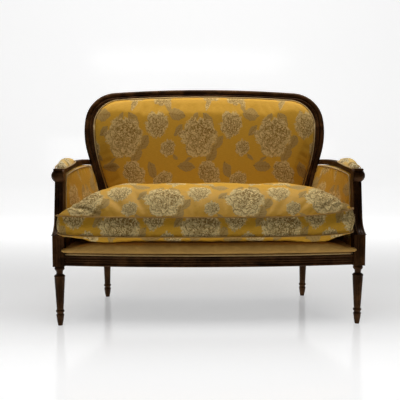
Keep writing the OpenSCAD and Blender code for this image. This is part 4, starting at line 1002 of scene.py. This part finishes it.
@dataclass(frozen=True)
class Layout:
    """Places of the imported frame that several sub-assemblies share."""

    block_half: float = 0.0225
    frame_depth: float = 0.480
    hinge_z: float = 0.259
    rake: float = math.radians(10.5)
    deck_top: float = 0.334

    @property
    def front_y(self) -> float:
        """Depth of the front legs' centres."""
        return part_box("front_leg_left")[0].y + self.block_half

    @property
    def back_up(self) -> Points:
        """The direction up the raked back."""
        return np.array(Vector((0, math.sin(self.rake), math.cos(self.rake))))

    @property
    def back_forward(self) -> Points:
        """The direction out of the raked back's front."""
        return np.array(Vector((0, -math.cos(self.rake), math.sin(self.rake))))

    def back_cloth(self, points: Points, _middles: Points, _normals: Points) -> Points:
        """Lays cloth on the raked back with its origin at the hinge line."""
        origin = np.array([0, self.front_y + self.frame_depth, self.hinge_z])
        return np.stack([points[:, 0], (points - origin) @ self.back_up], axis=1)


LAYOUT = Layout()


# Sub-assemblies


@dataclass
class ShowWood:
    """The polished frame: packed wood with its grain, and the pearls carved on the arm supports."""

    sweep_low: float = 0.363
    sweep_high: float = 0.432
    support_x: float = 0.598
    row_offset: float = 0.0140
    pearl_radius: float = 0.0031
    pearl_out: float = 0.0011
    pearl_spacing: float = 0.0066
    upright: tuple = ("front_leg_left", "front_leg_right", "back_post_left", "back_post_right",
                      "arm_support_left", "arm_support_right")
    level: tuple = ("crest_rail", "seat_rail_front", "seat_rail_back", "arm_dowels")
    deep: tuple = ("seat_rail_left", "seat_rail_right", "arm_rail_left", "arm_rail_right")
    inner: tuple = ("lower_back_rail", "seat_brace", "corner_glue_blocks", "crest_dowels")
    screws: tuple = ("corner_screws",)

    def build(self) -> None:
        """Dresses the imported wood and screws, and carves the pearls."""
        for nodes, finish in ((self.upright, WOOD_Z), (self.level, WOOD_X), (self.deep, WOOD_Y),
                              (self.inner, BEECH), (self.screws, STEEL)):
            for node in nodes:
                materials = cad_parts[node].data.materials
                materials.clear()
                materials.append(finish.material())
                LOG.info("%s: packed node, finish %s", node, finish.name)
        for side in Side:
            self.carve(side)

    def carve(self, side: Side) -> None:
        """Carves a row of pearls along each edge of an arm support's sweep."""
        wood, paths = obstacle([f"arm_support_{side.word}"]), []
        for edge in (-1, 1):
            x = side.value * (self.support_x + edge * self.row_offset)
            rays = [wood.ray_cast(Vector((x, -1.0, z)), Vector((0, 1, 0)))
                    for z in np.linspace(self.sweep_low, self.sweep_high, 40)]
            paths.append(np.array([hit[0] + self.pearl_out * hit[1] for hit in rays if hit[0] is not None]))
        pearls = row_along(f"carved_pearls_{side.word}", paths, Spacing=self.pearl_spacing,
                           Radius=self.pearl_radius, Flatness=0.9, Finish=RUBBED_GLINT_PEARL_WOOD.material())
        finished(pearls, RUBBED_GLINT_PEARL_WOOD, BODY)


@dataclass
class Padded:
    """What the stuffed sub-assemblies share: an even pad that the workshop stuffs."""

    voxel: float
    cap: float
    smoothings: int = 6
    fullness: float = 0.012
    pressure: float = 3.0
    pad: Piece = field(init=False)

    @property
    def rows(self) -> Points:
        """The places of the pad's vertices."""
        return coordinates(self.pad.data)

    @property
    def outward(self) -> Points:
        """The normals at the pad's vertices."""
        return normals_of(self.pad.data)

    def start(self, node: str, name: str) -> None:
        """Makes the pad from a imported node."""
        self.pad = remeshed(cad_copy(node, name), self.voxel)

    def stuff(self, workshop: Workshop, free: Points, neighbours: Sequence[str]) -> None:
        """Hands the pad to the workshop.

        Args:
            workshop: the workshop.
            free: from 0, held, to 1, free to swell, for each vertex.
            neighbours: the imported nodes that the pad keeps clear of.
        """
        workshop.pads.append(Stuffed(self.pad, 1 - free, self.cap, neighbours, self.fullness, self.pressure))

    def cover(self, lay: Lay, finish: Finish, body: str, node: str) -> None:
        """Lays the pad's cloth, and gives it its finish, its body and the node that it stands for."""
        shaded(finished(lay_cloth(self.pad, lay), finish, body, node))


@dataclass
class UpholsteredBack(Padded):
    """The back's stuffed front, its piping, webbing and outside cover."""

    voxel: float = 0.006
    cap: float = 0.005
    smoothings: int = 14
    last_smoothings: int = 10
    seam_free: tuple = (0.010, 0.04)
    last_seam_free: tuple = (0.006, 0.03)
    facing: tuple = (0.35, 0.6)
    welt_pitches: tuple = (0.05, 0.083, 0.031)
    welt_depth: float = 0.00025
    cover_flat: tuple = (1.075, 0.655)
    neighbours: tuple = ("back_piping", "crest_rail", "back_post_left", "back_post_right", "seat_cushion")

    def build(self, workshop: Workshop) -> None:
        """Builds the back's pieces and hands its pad to the workshop."""
        self.start("back_pad", "upholstered_back")
        relaxed(self.pad, self.smoothings, away_from("back_piping", self.pad, *self.seam_free))
        self.stuff(workshop, ramp(self.outward @ LAYOUT.back_forward, *self.facing), self.neighbours)
        welt = cad_copy("back_piping", "back_welt")
        places = coordinates(welt.data)
        uneven = waves(places[:, 0] + places[:, 2], self.welt_pitches, 3)
        pushed(welt, self.welt_depth * uneven - self.welt_depth)
        shaded(finished(welt, WELT_GOLD, BODY, "back_piping"))
        tacked("back_webbing", "back_web_straps", JUTE, flat_cloth((1, 0, 0), (0, 0, 1)))
        cover = shaded(tacked("outside_back_cover", "outside_back_cloth", BACK_DAMASK, LAYOUT.back_cloth), 35)

    def dress(self) -> None:
        """Finishes the pad once it is stuffed."""
        free = away_from("back_piping", self.pad, *self.last_seam_free)
        subdivided(relaxed(self.pad, self.last_smoothings, free))
        self.cover(LAYOUT.back_cloth, BACK_DAMASK, BODY, "back_pad")


@dataclass
class UpholsteredSide(Padded):
    """One upholstered side under an arm: stuffed inside, piping and outside cover."""

    side: Side = field(kw_only=True)
    voxel: float = 0.005
    cap: float = 0.004
    rail_free: tuple = (0.012, 0.03)
    seam_free: tuple = (0.008, 0.03)
    facing: tuple = (0.7, 0.25)
    drawn_in: float = 0.06
    level_step: float = 0.012
    level_half: float = 0.008
    cover_flat: tuple = (0.50, 0.345)

    def build(self, workshop: Workshop) -> None:
        """Builds the side's pieces and hands its pad to the workshop."""
        word = self.side.word
        piping, rail, post = f"side_piping_{word}", f"arm_rail_{word}", f"back_post_{word}"
        self.start(f"side_pad_{word}", f"upholstered_side_{word}")
        self.reach(post)
        under_rail = away_from(rail, self.pad, *self.rail_free)
        relaxed(self.pad, self.smoothings, under_rail * away_from(piping, self.pad, *self.seam_free))
        self.stuff(workshop, ramp(-self.side.value * self.outward[:, 0], *self.facing),
                   (piping, f"arm_support_{word}", rail, post, "seat_cushion", "deck_pad"))
        gold_welt(piping, f"side_welt_{word}")
        cover = tacked(f"outside_arm_cover_{word}", f"outside_arm_cloth_{word}", SIDE_DAMASK_PAINTED_SHADE,
                       flat_cloth((0, 1, 0), (0, 0, 1)))
        shaded(cover, 35)

    def reach(self, post: str) -> None:
        """Draws the rear edge of the pad in to the back post, where its cover is tacked."""
        tree, rows = obstacle([post]), self.rows
        levels = np.arange(rows[:, 2].min() + 0.01, rows[:, 2].max() - 0.004, self.level_step)
        edges, pulls = [], []
        for z in levels:
            near = rows[np.abs(rows[:, 2] - z) < self.level_half]
            tip = near[np.argmax(near[:, 1] - self.side.value * near[:, 0])]
            edges.append(tip[1])
            pulls.append((np.array(tree.find_nearest(Vector(tip))[0]) - tip)[:2])
        start = np.interp(rows[:, 2], levels, edges) - self.drawn_in
        share = eased((rows[:, 1] - start) / self.drawn_in) * ramp(rows[:, 2], LAYOUT.deck_top + 0.01, 0.02)
        for axis in (0, 1):
            rows[:, axis] += share * np.interp(rows[:, 2], levels, [pull[axis] for pull in pulls])
        move_to(self.pad, rows)

    def dress(self) -> None:
        """Finishes the pad once it is stuffed."""
        subdivided(self.pad)
        lay = flat_cloth((0, self.side.value, 0), (0, 0, 1))
        self.cover(lay, SIDE_DAMASK_PAINTED_SHADE, BODY, f"side_pad_{self.side.word}")


@dataclass
class ArmPad(Padded):
    """One stuffed arm pad with the piping round its foot."""

    side: Side = field(kw_only=True)
    voxel: float = 0.0035
    cap: float = 0.0015
    fullness: float = 0.03
    pressure: float = 4.0
    facing: tuple = (-0.1, 0.3)
    foot: float = 0.006
    foot_rise: float = 0.01

    def build(self, workshop: Workshop) -> None:
        """Builds the pad and its piping and hands the pad to the workshop."""
        word = self.side.word
        self.start(f"arm_pad_{word}", f"stuffed_arm_pad_{word}")
        relaxed(self.pad, self.smoothings)
        height = self.rows[:, 2]
        raised = ramp(height, height.min() + self.foot, self.foot_rise)
        free = ramp(self.outward[:, 2], *self.facing) * raised
        self.stuff(workshop, free, (f"arm_pad_piping_{word}", f"arm_rail_{word}"))
        gold_welt(f"arm_pad_piping_{word}", f"arm_pad_welt_{word}")

    def dress(self) -> None:
        """Finishes the pad once it is stuffed."""
        subdivided(self.pad)
        self.cover(flat_cloth((1, 0, 0.6), (0, 1, 0)), ARM_DAMASK_PAINTED_LIGHT, BODY, f"arm_pad_{self.side.word}")


@dataclass
class Deck(Padded):
    """The sprung deck in plain cloth, its piping, and what lies under it."""

    voxel: float = 0.0065
    cap: float = 0.003
    smoothings: int = 8
    fullness: float = 0.01
    facing: tuple = (0.3, 0.4)
    end_from: float = 0.5475
    end_long: float = 0.0316
    end_power: float = 0.45
    dust_flat: tuple = (1.13, 0.52)
    neighbours: tuple = (
        "seat_cushion", "deck_piping", "front_leg_left", "front_leg_right", "seat_rail_front")

    def build(self, workshop: Workshop) -> None:
        """Builds the deck, its piping, the webbing and the dust cover."""
        self.start("deck_pad", "upholstered_deck")
        relaxed(self.pad, self.smoothings)
        rows = self.rows
        rows[:, 2] = np.minimum(rows[:, 2], LAYOUT.deck_top)
        move_to(self.pad, rows)
        self.stuff(workshop, ramp(-self.outward[:, 1], *self.facing), self.neighbours)
        shaded(finished(cad_copy("deck_piping", "deck_welt"), WELT_GOLD, BODY, "deck_piping"))
        level = flat_cloth((1, 0, 0), (0, 1, 0))
        tacked("seat_webbing", "seat_web_straps", JUTE, level)
        cover = tacked("dust_cover", "dust_cloth", DUST_CLOTH, level)

    def dress(self) -> None:
        """Finishes the deck once it is stuffed, with blunt ends in front of the corner blocks."""
        subdivided(self.pad)
        rows = self.rows
        share = ramp(np.abs(rows[:, 0]), self.end_from, self.end_long)
        in_front = rows[:, 1] < LAYOUT.front_y - LAYOUT.block_half
        blunt = np.sign(rows[:, 0]) * (self.end_from + self.end_long * share ** self.end_power)
        rows[:, 0] = np.where(in_front & (share > 0), blunt, rows[:, 0])
        move_to(self.pad, rows)
        self.cover(flat_cloth((1, 0, 0), (0, -1, 1)), PLAIN_GOLD, BODY, "deck_pad")


@dataclass
class SeatCushion(Padded):
    """The loose seat cushion: a boxed cover with two piped seams."""

    left: float = 0.599
    right: float = 0.563
    front: float = 0.042
    bow: float = 0.030
    bow_span: float = 0.5895
    bow_rear: float = 0.160
    bow_ease: float = 0.200
    rear: float = 0.463
    rear_half: float = 0.465358
    front_half: float = 0.5692
    ear_y: float = -0.004
    shoulder_y: float = 0.028
    corner_radii: tuple = (0.020, 0.020, 0.012, 0.014, 0.046, 0.046, 0.014, 0.012)
    corner_points: int = 7
    edge_step: float = 0.01
    low_seam: float = 0.358
    boxing: float = 0.076
    back_rise: float = 0.018
    back_fall: float = 0.003
    back_taper: float = 0.055
    back_tuck: float = 0.005
    top_lift: tuple = (0.004, 0.031)
    low_lift: tuple = (0.006, 0.014)
    lift_power: int = 5
    lift_rear: float = 0.120
    lift_ease: float = 0.160
    corner_pulls: tuple = (0.005, 0.010, 0.009, 0.006)
    corner_reach: float = 0.024
    rests_over: float = 0.0003
    voxel: float = 0.0085
    cap: float = 0.009
    smoothings: int = 12
    last_smoothings: int = 5
    fullness: float = 0.03
    pressure: float = 4.0
    seam_free: tuple = (0.006, 0.03)
    seam_held: tuple = (0.007, 0.012)
    last_seam_free: tuple = (0.006, 0.02)
    clear_share: float = 0.8
    pucker: float = 0.0016
    pucker_reach: float = 0.022
    pucker_pitches: tuple = (0.037, 0.061, 0.026)
    pucker_swings: tuple = (0.31, 0.19)
    crown_wave: float = 0.0025
    crown_pitches: tuple = (0.33, 0.21)
    dip: float = 0.008
    dip_x: float = 0.515
    dip_width: float = 0.045
    dip_rim: float = 0.06
    sag: float = 0.007
    sag_from: float = 0.30
    sag_ease: float = 0.10
    sag_depth: float = 0.04
    welt_pitches: tuple = (0.043, 0.071, 0.029)
    welt_wave: float = 0.0003
    welt_in: float = 0.0010
    top_start: float = 0.06
    boxing_stretch: float = 1.025
    boxing_start: tuple = (0.167, 0.194)
    neighbours: tuple = (
        "deck_pad", "side_pad_left", "side_pad_right", "side_piping_left", "side_piping_right", "back_pad",
        "back_piping", "arm_support_left", "arm_support_right", "front_leg_left", "front_leg_right")
    upper: Seam = field(init=False)
    lower: Seam = field(init=False)
    welts: tuple = (
        ("cushion_piping_top", "cushion_welt_top"), ("cushion_piping_bottom", "cushion_welt_bottom"))

    def corners(self) -> Points:
        """Returns the outline's corners, front left first, in the plan of the front legs."""
        return np.array([
            (-self.left, -self.front), (self.right, -self.front), (self.right - 0.002, self.ear_y),
            (self.front_half, self.shoulder_y), (self.rear_half, self.rear), (-self.rear_half, self.rear),
            (-self.front_half, self.shoulder_y), (-self.front_half - 0.014, self.ear_y)])

    def outline(self) -> Points:
        """Returns the outline with rounded corners and its bow, as rows of x and y."""
        corners, rows = self.corners(), []
        count = len(corners)
        for i, corner in enumerate(corners):
            before, after = corners[i - 1], corners[(i + 1) % count]
            radius, radius_next = self.corner_radii[i], self.corner_radii[(i + 1) % count]
            start = corner + radius * (before - corner) / np.linalg.norm(before - corner)
            end = corner + radius * (after - corner) / np.linalg.norm(after - corner)
            for f in np.linspace(0, 1, self.corner_points):
                rows.append((1 - f) ** 2 * start + 2 * f * (1 - f) * corner + f * f * end)
            far = after + radius_next * (corner - after) / np.linalg.norm(corner - after)
            steps = max(2, int(np.linalg.norm(far - end) / self.edge_step))
            rows.extend(end + (far - end) * k / steps for k in range(1, steps))
        rows = np.array(rows)
        arch = np.maximum(0, 1 - (rows[:, 0] / self.bow_span) ** 2)
        rows[:, 1] -= self.bow * arch * eased((self.bow_rear - rows[:, 1]) / self.bow_ease)
        return rows

    def lift(self, plan: Points, corners: tuple) -> Points:
        """Returns how far a seam lifts towards the front corners, the left and the right one."""
        x, y = plan[:, 0], plan[:, 1]
        ends = np.where(x > 0, corners[1] * np.minimum(1, np.abs(x) / self.right) ** self.lift_power,
                        corners[0] * np.minimum(1, np.abs(x) / self.left) ** self.lift_power)
        return ends * eased((self.lift_rear - y) / self.lift_ease)

    def top_seam(self) -> Seam:
        """Returns the upper seam, which rises to the back and to the front corners."""
        plan = self.outline()
        back = np.clip(plan[:, 1] / self.rear, 0, 1)
        z = self.low_seam + self.boxing + self.back_rise * back + self.lift(plan, self.top_lift)
        return Seam(np.column_stack([plan[:, 0], plan[:, 1] + LAYOUT.front_y, z]))

    def bottom_seam(self) -> Seam:
        """Returns the lower seam, which narrows and falls to the back."""
        plan = self.outline()
        back = np.clip(plan[:, 1] / self.rear, 0, 1)
        z = self.low_seam - self.back_fall * back + self.lift(plan, self.low_lift)
        y = plan[:, 1] - self.back_tuck * back ** 2 + LAYOUT.front_y
        return Seam(np.column_stack([plan[:, 0] * (1 - self.back_taper * back), y, z]))

    def seam_distance(self) -> Points:
        """Returns how far each of the cover's vertices lies from the nearer seam."""
        return np.minimum(self.upper.nearest(self.rows)[1], self.lower.nearest(self.rows)[1])

    def build(self, workshop: Workshop) -> None:
        """Builds the cushion and hands it to the workshop."""
        self.upper, self.lower = self.top_seam(), self.bottom_seam()
        self.start("seat_cushion", "loose_seat_cushion")
        near = self.seam_distance()
        relaxed(self.pad, self.smoothings, ramp(near, *self.seam_free))
        self.stuff(workshop, ramp(near, *self.seam_held), self.neighbours)

    def dress(self) -> None:
        """Puckers the seams, lays the damask and sews the piping on."""
        subdivided(relaxed(self.pad, self.last_smoothings, ramp(self.seam_distance(), *self.last_seam_free)))
        rows, outward = self.rows, self.outward
        puffed = rows + outward * self.puckers(rows, outward)[:, None] + self.rounding(rows)
        in_front = ramp(-rows[:, 1], -LAYOUT.front_y - self.sag_depth, self.sag_depth)
        low = ramp(-outward[:, 2], 0.3, 0.5) * in_front
        puffed[:, 2] -= self.sag * low * ramp(np.abs(rows[:, 0]), self.sag_from, self.sag_ease)
        moved = kept_clear(rows, puffed, ("deck_pad", "side_pad_left", "side_pad_right"), self.clear_share)
        moved[:, 2] = np.maximum(moved[:, 2], LAYOUT.deck_top + self.rests_over)
        move_to(self.pad, moved)
        self.cover(self.cut, CUSHION_DAMASK_PAINTED_SHEEN, CUSHION_BODY, "seat_cushion")
        for node, name in self.welts:
            welt = subdivided(cad_copy(node, name), 2)
            places = coordinates(welt.data)
            uneven = waves(places[:, 0] + places[:, 1], self.welt_pitches, 7)
            pushed(welt, self.welt_wave * uneven - self.welt_in)
            move_to(welt, coordinates(welt.data) + self.rounding(places))
            shaded(finished(welt, BOX_WELT, CUSHION_BODY, node))

    def puckers(self, rows: Points, outward: Points) -> Points:
        """Returns how far each vertex stands out: puckers at the seams, waves and a dip in the crown."""
        shift = np.zeros(len(rows))
        for seam, seed in ((self.upper, 5), (self.lower, 9)):
            spot, distance = seam.nearest(rows)
            along = seam.at[spot]
            fold = waves(along, self.pucker_pitches, seed)
            fold *= 0.5 + 0.5 * waves(along, self.pucker_swings, seed + 1)
            fading = np.exp(-distance / self.pucker_reach) * ramp(distance, 0, self.seam_free[0])
            shift += self.pucker * fold * fading
        up = np.clip(outward[:, 2], 0, 1)
        shift += up * self.crown_wave * waves(rows[:, 0] * 0.9 + rows[:, 1] * 0.5, self.crown_pitches, 12)
        inside = ramp(self.upper.nearest(rows)[1], 0, self.dip_rim)
        return shift - self.dip * up * bell(rows[:, 0] + self.dip_x, self.dip_width) * inside

    def rounding(self, points: Points) -> Points:
        """Returns how far the cover gives way round the tips of its front corners."""
        high = self.low_seam + self.boxing
        give = np.zeros_like(points)
        tips = ((-self.left, high), (-self.left, self.low_seam), (self.right, high + self.top_lift[1]),
                (self.right, self.low_seam + self.low_lift[1]))
        for (x, z), pull in zip(tips, self.corner_pulls):
            tip = np.array([x, LAYOUT.front_y - self.front, z])
            weight = bell(np.linalg.norm(points - tip, axis=1), self.corner_reach)
            give += weight[:, None] * pull * np.array([-np.sign(x), 0.7, 0.0])
        return give

    def cut(self, points: Points, middles: Points, _normals: Points) -> Points:
        """Lays the damask by panel: the top, the boxing round the edge, and the underside."""
        spot, low_spot = self.upper.nearest(middles)[0], self.lower.nearest(middles)[0]
        above = middles[:, 2] > self.upper.points[spot, 2]
        below = middles[:, 2] < self.lower.points[low_spot, 2]
        front = self.upper.points[: len(self.upper.points) // 3]
        front = front[np.argsort(front[:, 0])]
        rise_y = points[:, 1] - np.interp(points[:, 0], front[:, 0], front[:, 1])
        rise_z = points[:, 2] - np.interp(points[:, 0], front[:, 0], front[:, 2])
        top = np.column_stack([points[:, 0], np.hypot(rise_y, rise_z) + self.top_start])
        ahead = np.sum((points - self.upper.points[spot]) * self.upper.ahead[spot], axis=1)
        along = self.upper.at[spot] - self.left + ahead
        start, height = self.boxing_start
        boxing = np.column_stack([self.boxing_stretch * along + start,
                                  points[:, 2] - self.upper.points[spot, 2] + height])
        return np.where(above[:, None], top, np.where(below[:, None], points[:, :2], boxing))


# Studio


@dataclass(frozen=True)
class SoftBox:
    """A rectangular light: its name, place, aim, width and height, and power in watts."""

    name: str
    place: tuple
    aim: tuple
    size: tuple
    power: float


@dataclass
class Studio:
    """Floor, lights and camera of the photograph."""

    painted_shadow_glow: float = 0.34
    front_glow: float = 0.61
    far_glow: float = 0.70
    lent_glow: float = 0.54
    world_seen: float = 0.82
    world_lent: float = 0.03
    lens_mm: float = 59.73
    place: tuple = (-0.1025, -2.5914, 0.6939)
    right: tuple = (0.99969, -0.02501, 0.0)
    forward: tuple = (0.0249, 0.9968, -0.0766)
    floor: Piece = field(init=False)
    lights: tuple = (
        SoftBox("overhead", (0.0, 0.20, 1.72), (0.0, 0.21, 0.4), (2.2, 0.6), 22.0),
        SoftBox("floor_wash", (0.0, -0.9, 2.6), (0.0, -0.85, 0.0), (3.6, 1.6), 43.0),
        SoftBox("front_box", (-0.9, -3.6, 2.0), (0.0, 0.0, 0.5), (1.4, 1.0), 5.5),
        SoftBox("backdrop", (0.0, 1.8, 4.6), (0.0, 4.2, 1.2), (5.0, 3.0), 60.0))

    def build(self) -> None:
        """Builds the studio."""
        self.build_floor()
        self.build_world()
        self.build_lights()
        self.build_camera()

    def build_floor(self) -> None:
        """Builds a pale sweep of floor and backdrop."""
        near, far, radius, half_width, height = -7.0, 3.2, 1.2, 9.0, 7.0
        profile = [(near, 0.0), (far, 0.0)]
        profile += [(far + radius * math.sin(a), radius - radius * math.cos(a))
                    for a in np.linspace(0.1, math.pi / 2, 14)]
        profile.append((far + radius, height))
        work = bmesh.new()
        rows = [[work.verts.new((x, y, z)) for y, z in profile] for x in (-half_width, half_width)]
        for i in range(len(profile) - 1):
            work.faces.new((rows[0][i], rows[1][i], rows[1][i + 1], rows[0][i + 1]))
        mesh = bpy.data.meshes.new("studio_floor")
        work.to_mesh(mesh)
        work.free()
        mesh.shade_smooth()
        mesh.materials.append(self.paper())
        self.floor = linked("studio_floor", mesh)

    def paper(self) -> bpy.types.Material:
        """Returns the floor's paper, which glows less to the camera under the sofa than round it, as a
        painted shadow.
        """
        material = bpy.data.materials.new("studio_paper")
        material.use_nodes = True
        graph = Graph(material.node_tree)
        seen = graph.take("ShaderNodeLightPath", output="Is Camera Ray")
        _, depth = graph.across_and_up(graph.place())
        # Glow to the camera by depth: lower under the sofa, a painted shadow on the floor.
        near = graph.span(depth, -0.95, 0.05, self.front_glow, self.painted_shadow_glow, smooth=True)
        far = graph.span(depth, 0.5, 3.0, self.painted_shadow_glow, self.far_glow, smooth=True)
        # Glow to other rays, strongest near the sofa: the floor lends it painted fill light.
        lent = graph.span(depth, -1.4, -0.6, 0.03, self.lent_glow, smooth=True) * graph.span(
            depth, 0.5, 1.6, 1.0, 0.55, smooth=True)
        graph.feed(material.node_tree.nodes["Principled BSDF"], {
            "Base Color": (0.60, 0.60, 0.60, 1), "Roughness": 0.13, "Specular IOR Level": 0.45,
            "Emission Color": WHITE,
            "Emission Strength": graph.blend(seen, lent, graph.math("MAXIMUM", near, far))})
        return material

    def build_world(self) -> None:
        """Builds a surround that the camera sees bright and that lends little light."""
        world = bpy.data.worlds.new("studio_air")
        world.use_nodes = True
        graph = Graph(world.node_tree)
        seen = graph.take("ShaderNodeLightPath", output="Is Camera Ray")
        graph.feed(world.node_tree.nodes["Background"], {
            "Color": WHITE, "Strength": seen * self.world_seen + self.world_lent})
        bpy.context.scene.world = world

    def build_lights(self) -> None:
        """Builds the lights: the one overhead spares the floor, and the wash lights only the floor."""
        for box in self.lights:
            light = bpy.data.lights.new(box.name, "AREA")
            light.shape, light.energy = "RECTANGLE", box.power
            light.size, light.size_y = box.size
            lamp = linked(box.name, light)
            lamp.location = box.place
            lamp.rotation_euler = (Vector(box.aim) - Vector(box.place)).to_track_quat("-Z", "Y").to_euler()
            if box.name in ("floor_wash", "overhead"):
                lit = bpy.data.collections.new(f"{box.name}_reach")
                lit.objects.link(self.floor)
                lamp.light_linking.receiver_collection = lit
                if box.name == "overhead":
                    lit.collection_objects[0].light_linking.link_state = "EXCLUDE"

    def build_camera(self) -> None:
        """Builds the camera where the photograph was taken from."""
        data = bpy.data.cameras.new("photograph")
        data.sensor_width, data.lens = 36.0, self.lens_mm
        data.clip_start, data.clip_end = 0.05, 60.0
        camera = linked("photograph", data)
        right, forward = Vector(self.right).normalized(), Vector(self.forward).normalized()
        turn = Matrix((right, right.cross(forward), -forward)).transposed()
        x, y, z = self.place
        camera.matrix_world = Matrix.Translation((x, y + LAYOUT.front_y, z)) @ turn.to_4x4()
        bpy.context.scene.camera = camera
        bpy.context.scene.view_settings.view_transform = "Standard"


def main() -> None:
    """Builds the studio and dresses the sofa, piece by piece."""
    logging.basicConfig(level=logging.INFO, format="%(name)s: %(message)s")
    for build in (build_motif_group, build_petals_group, build_leaf_group, build_damask_group,
                  build_weave_group, build_grain_group, build_crease_group, build_row_tree):
        build()
    Studio().build()
    workshop = Workshop()
    ShowWood().build()
    parts = [UpholsteredBack(), *(UpholsteredSide(side=side) for side in Side),
             *(ArmPad(side=side) for side in Side), Deck(), SeatCushion()]
    for part in parts:
        part.build(workshop)
    workshop.run()
    for part in parts:
        part.dress()


if __name__ == "__main__":
    main()
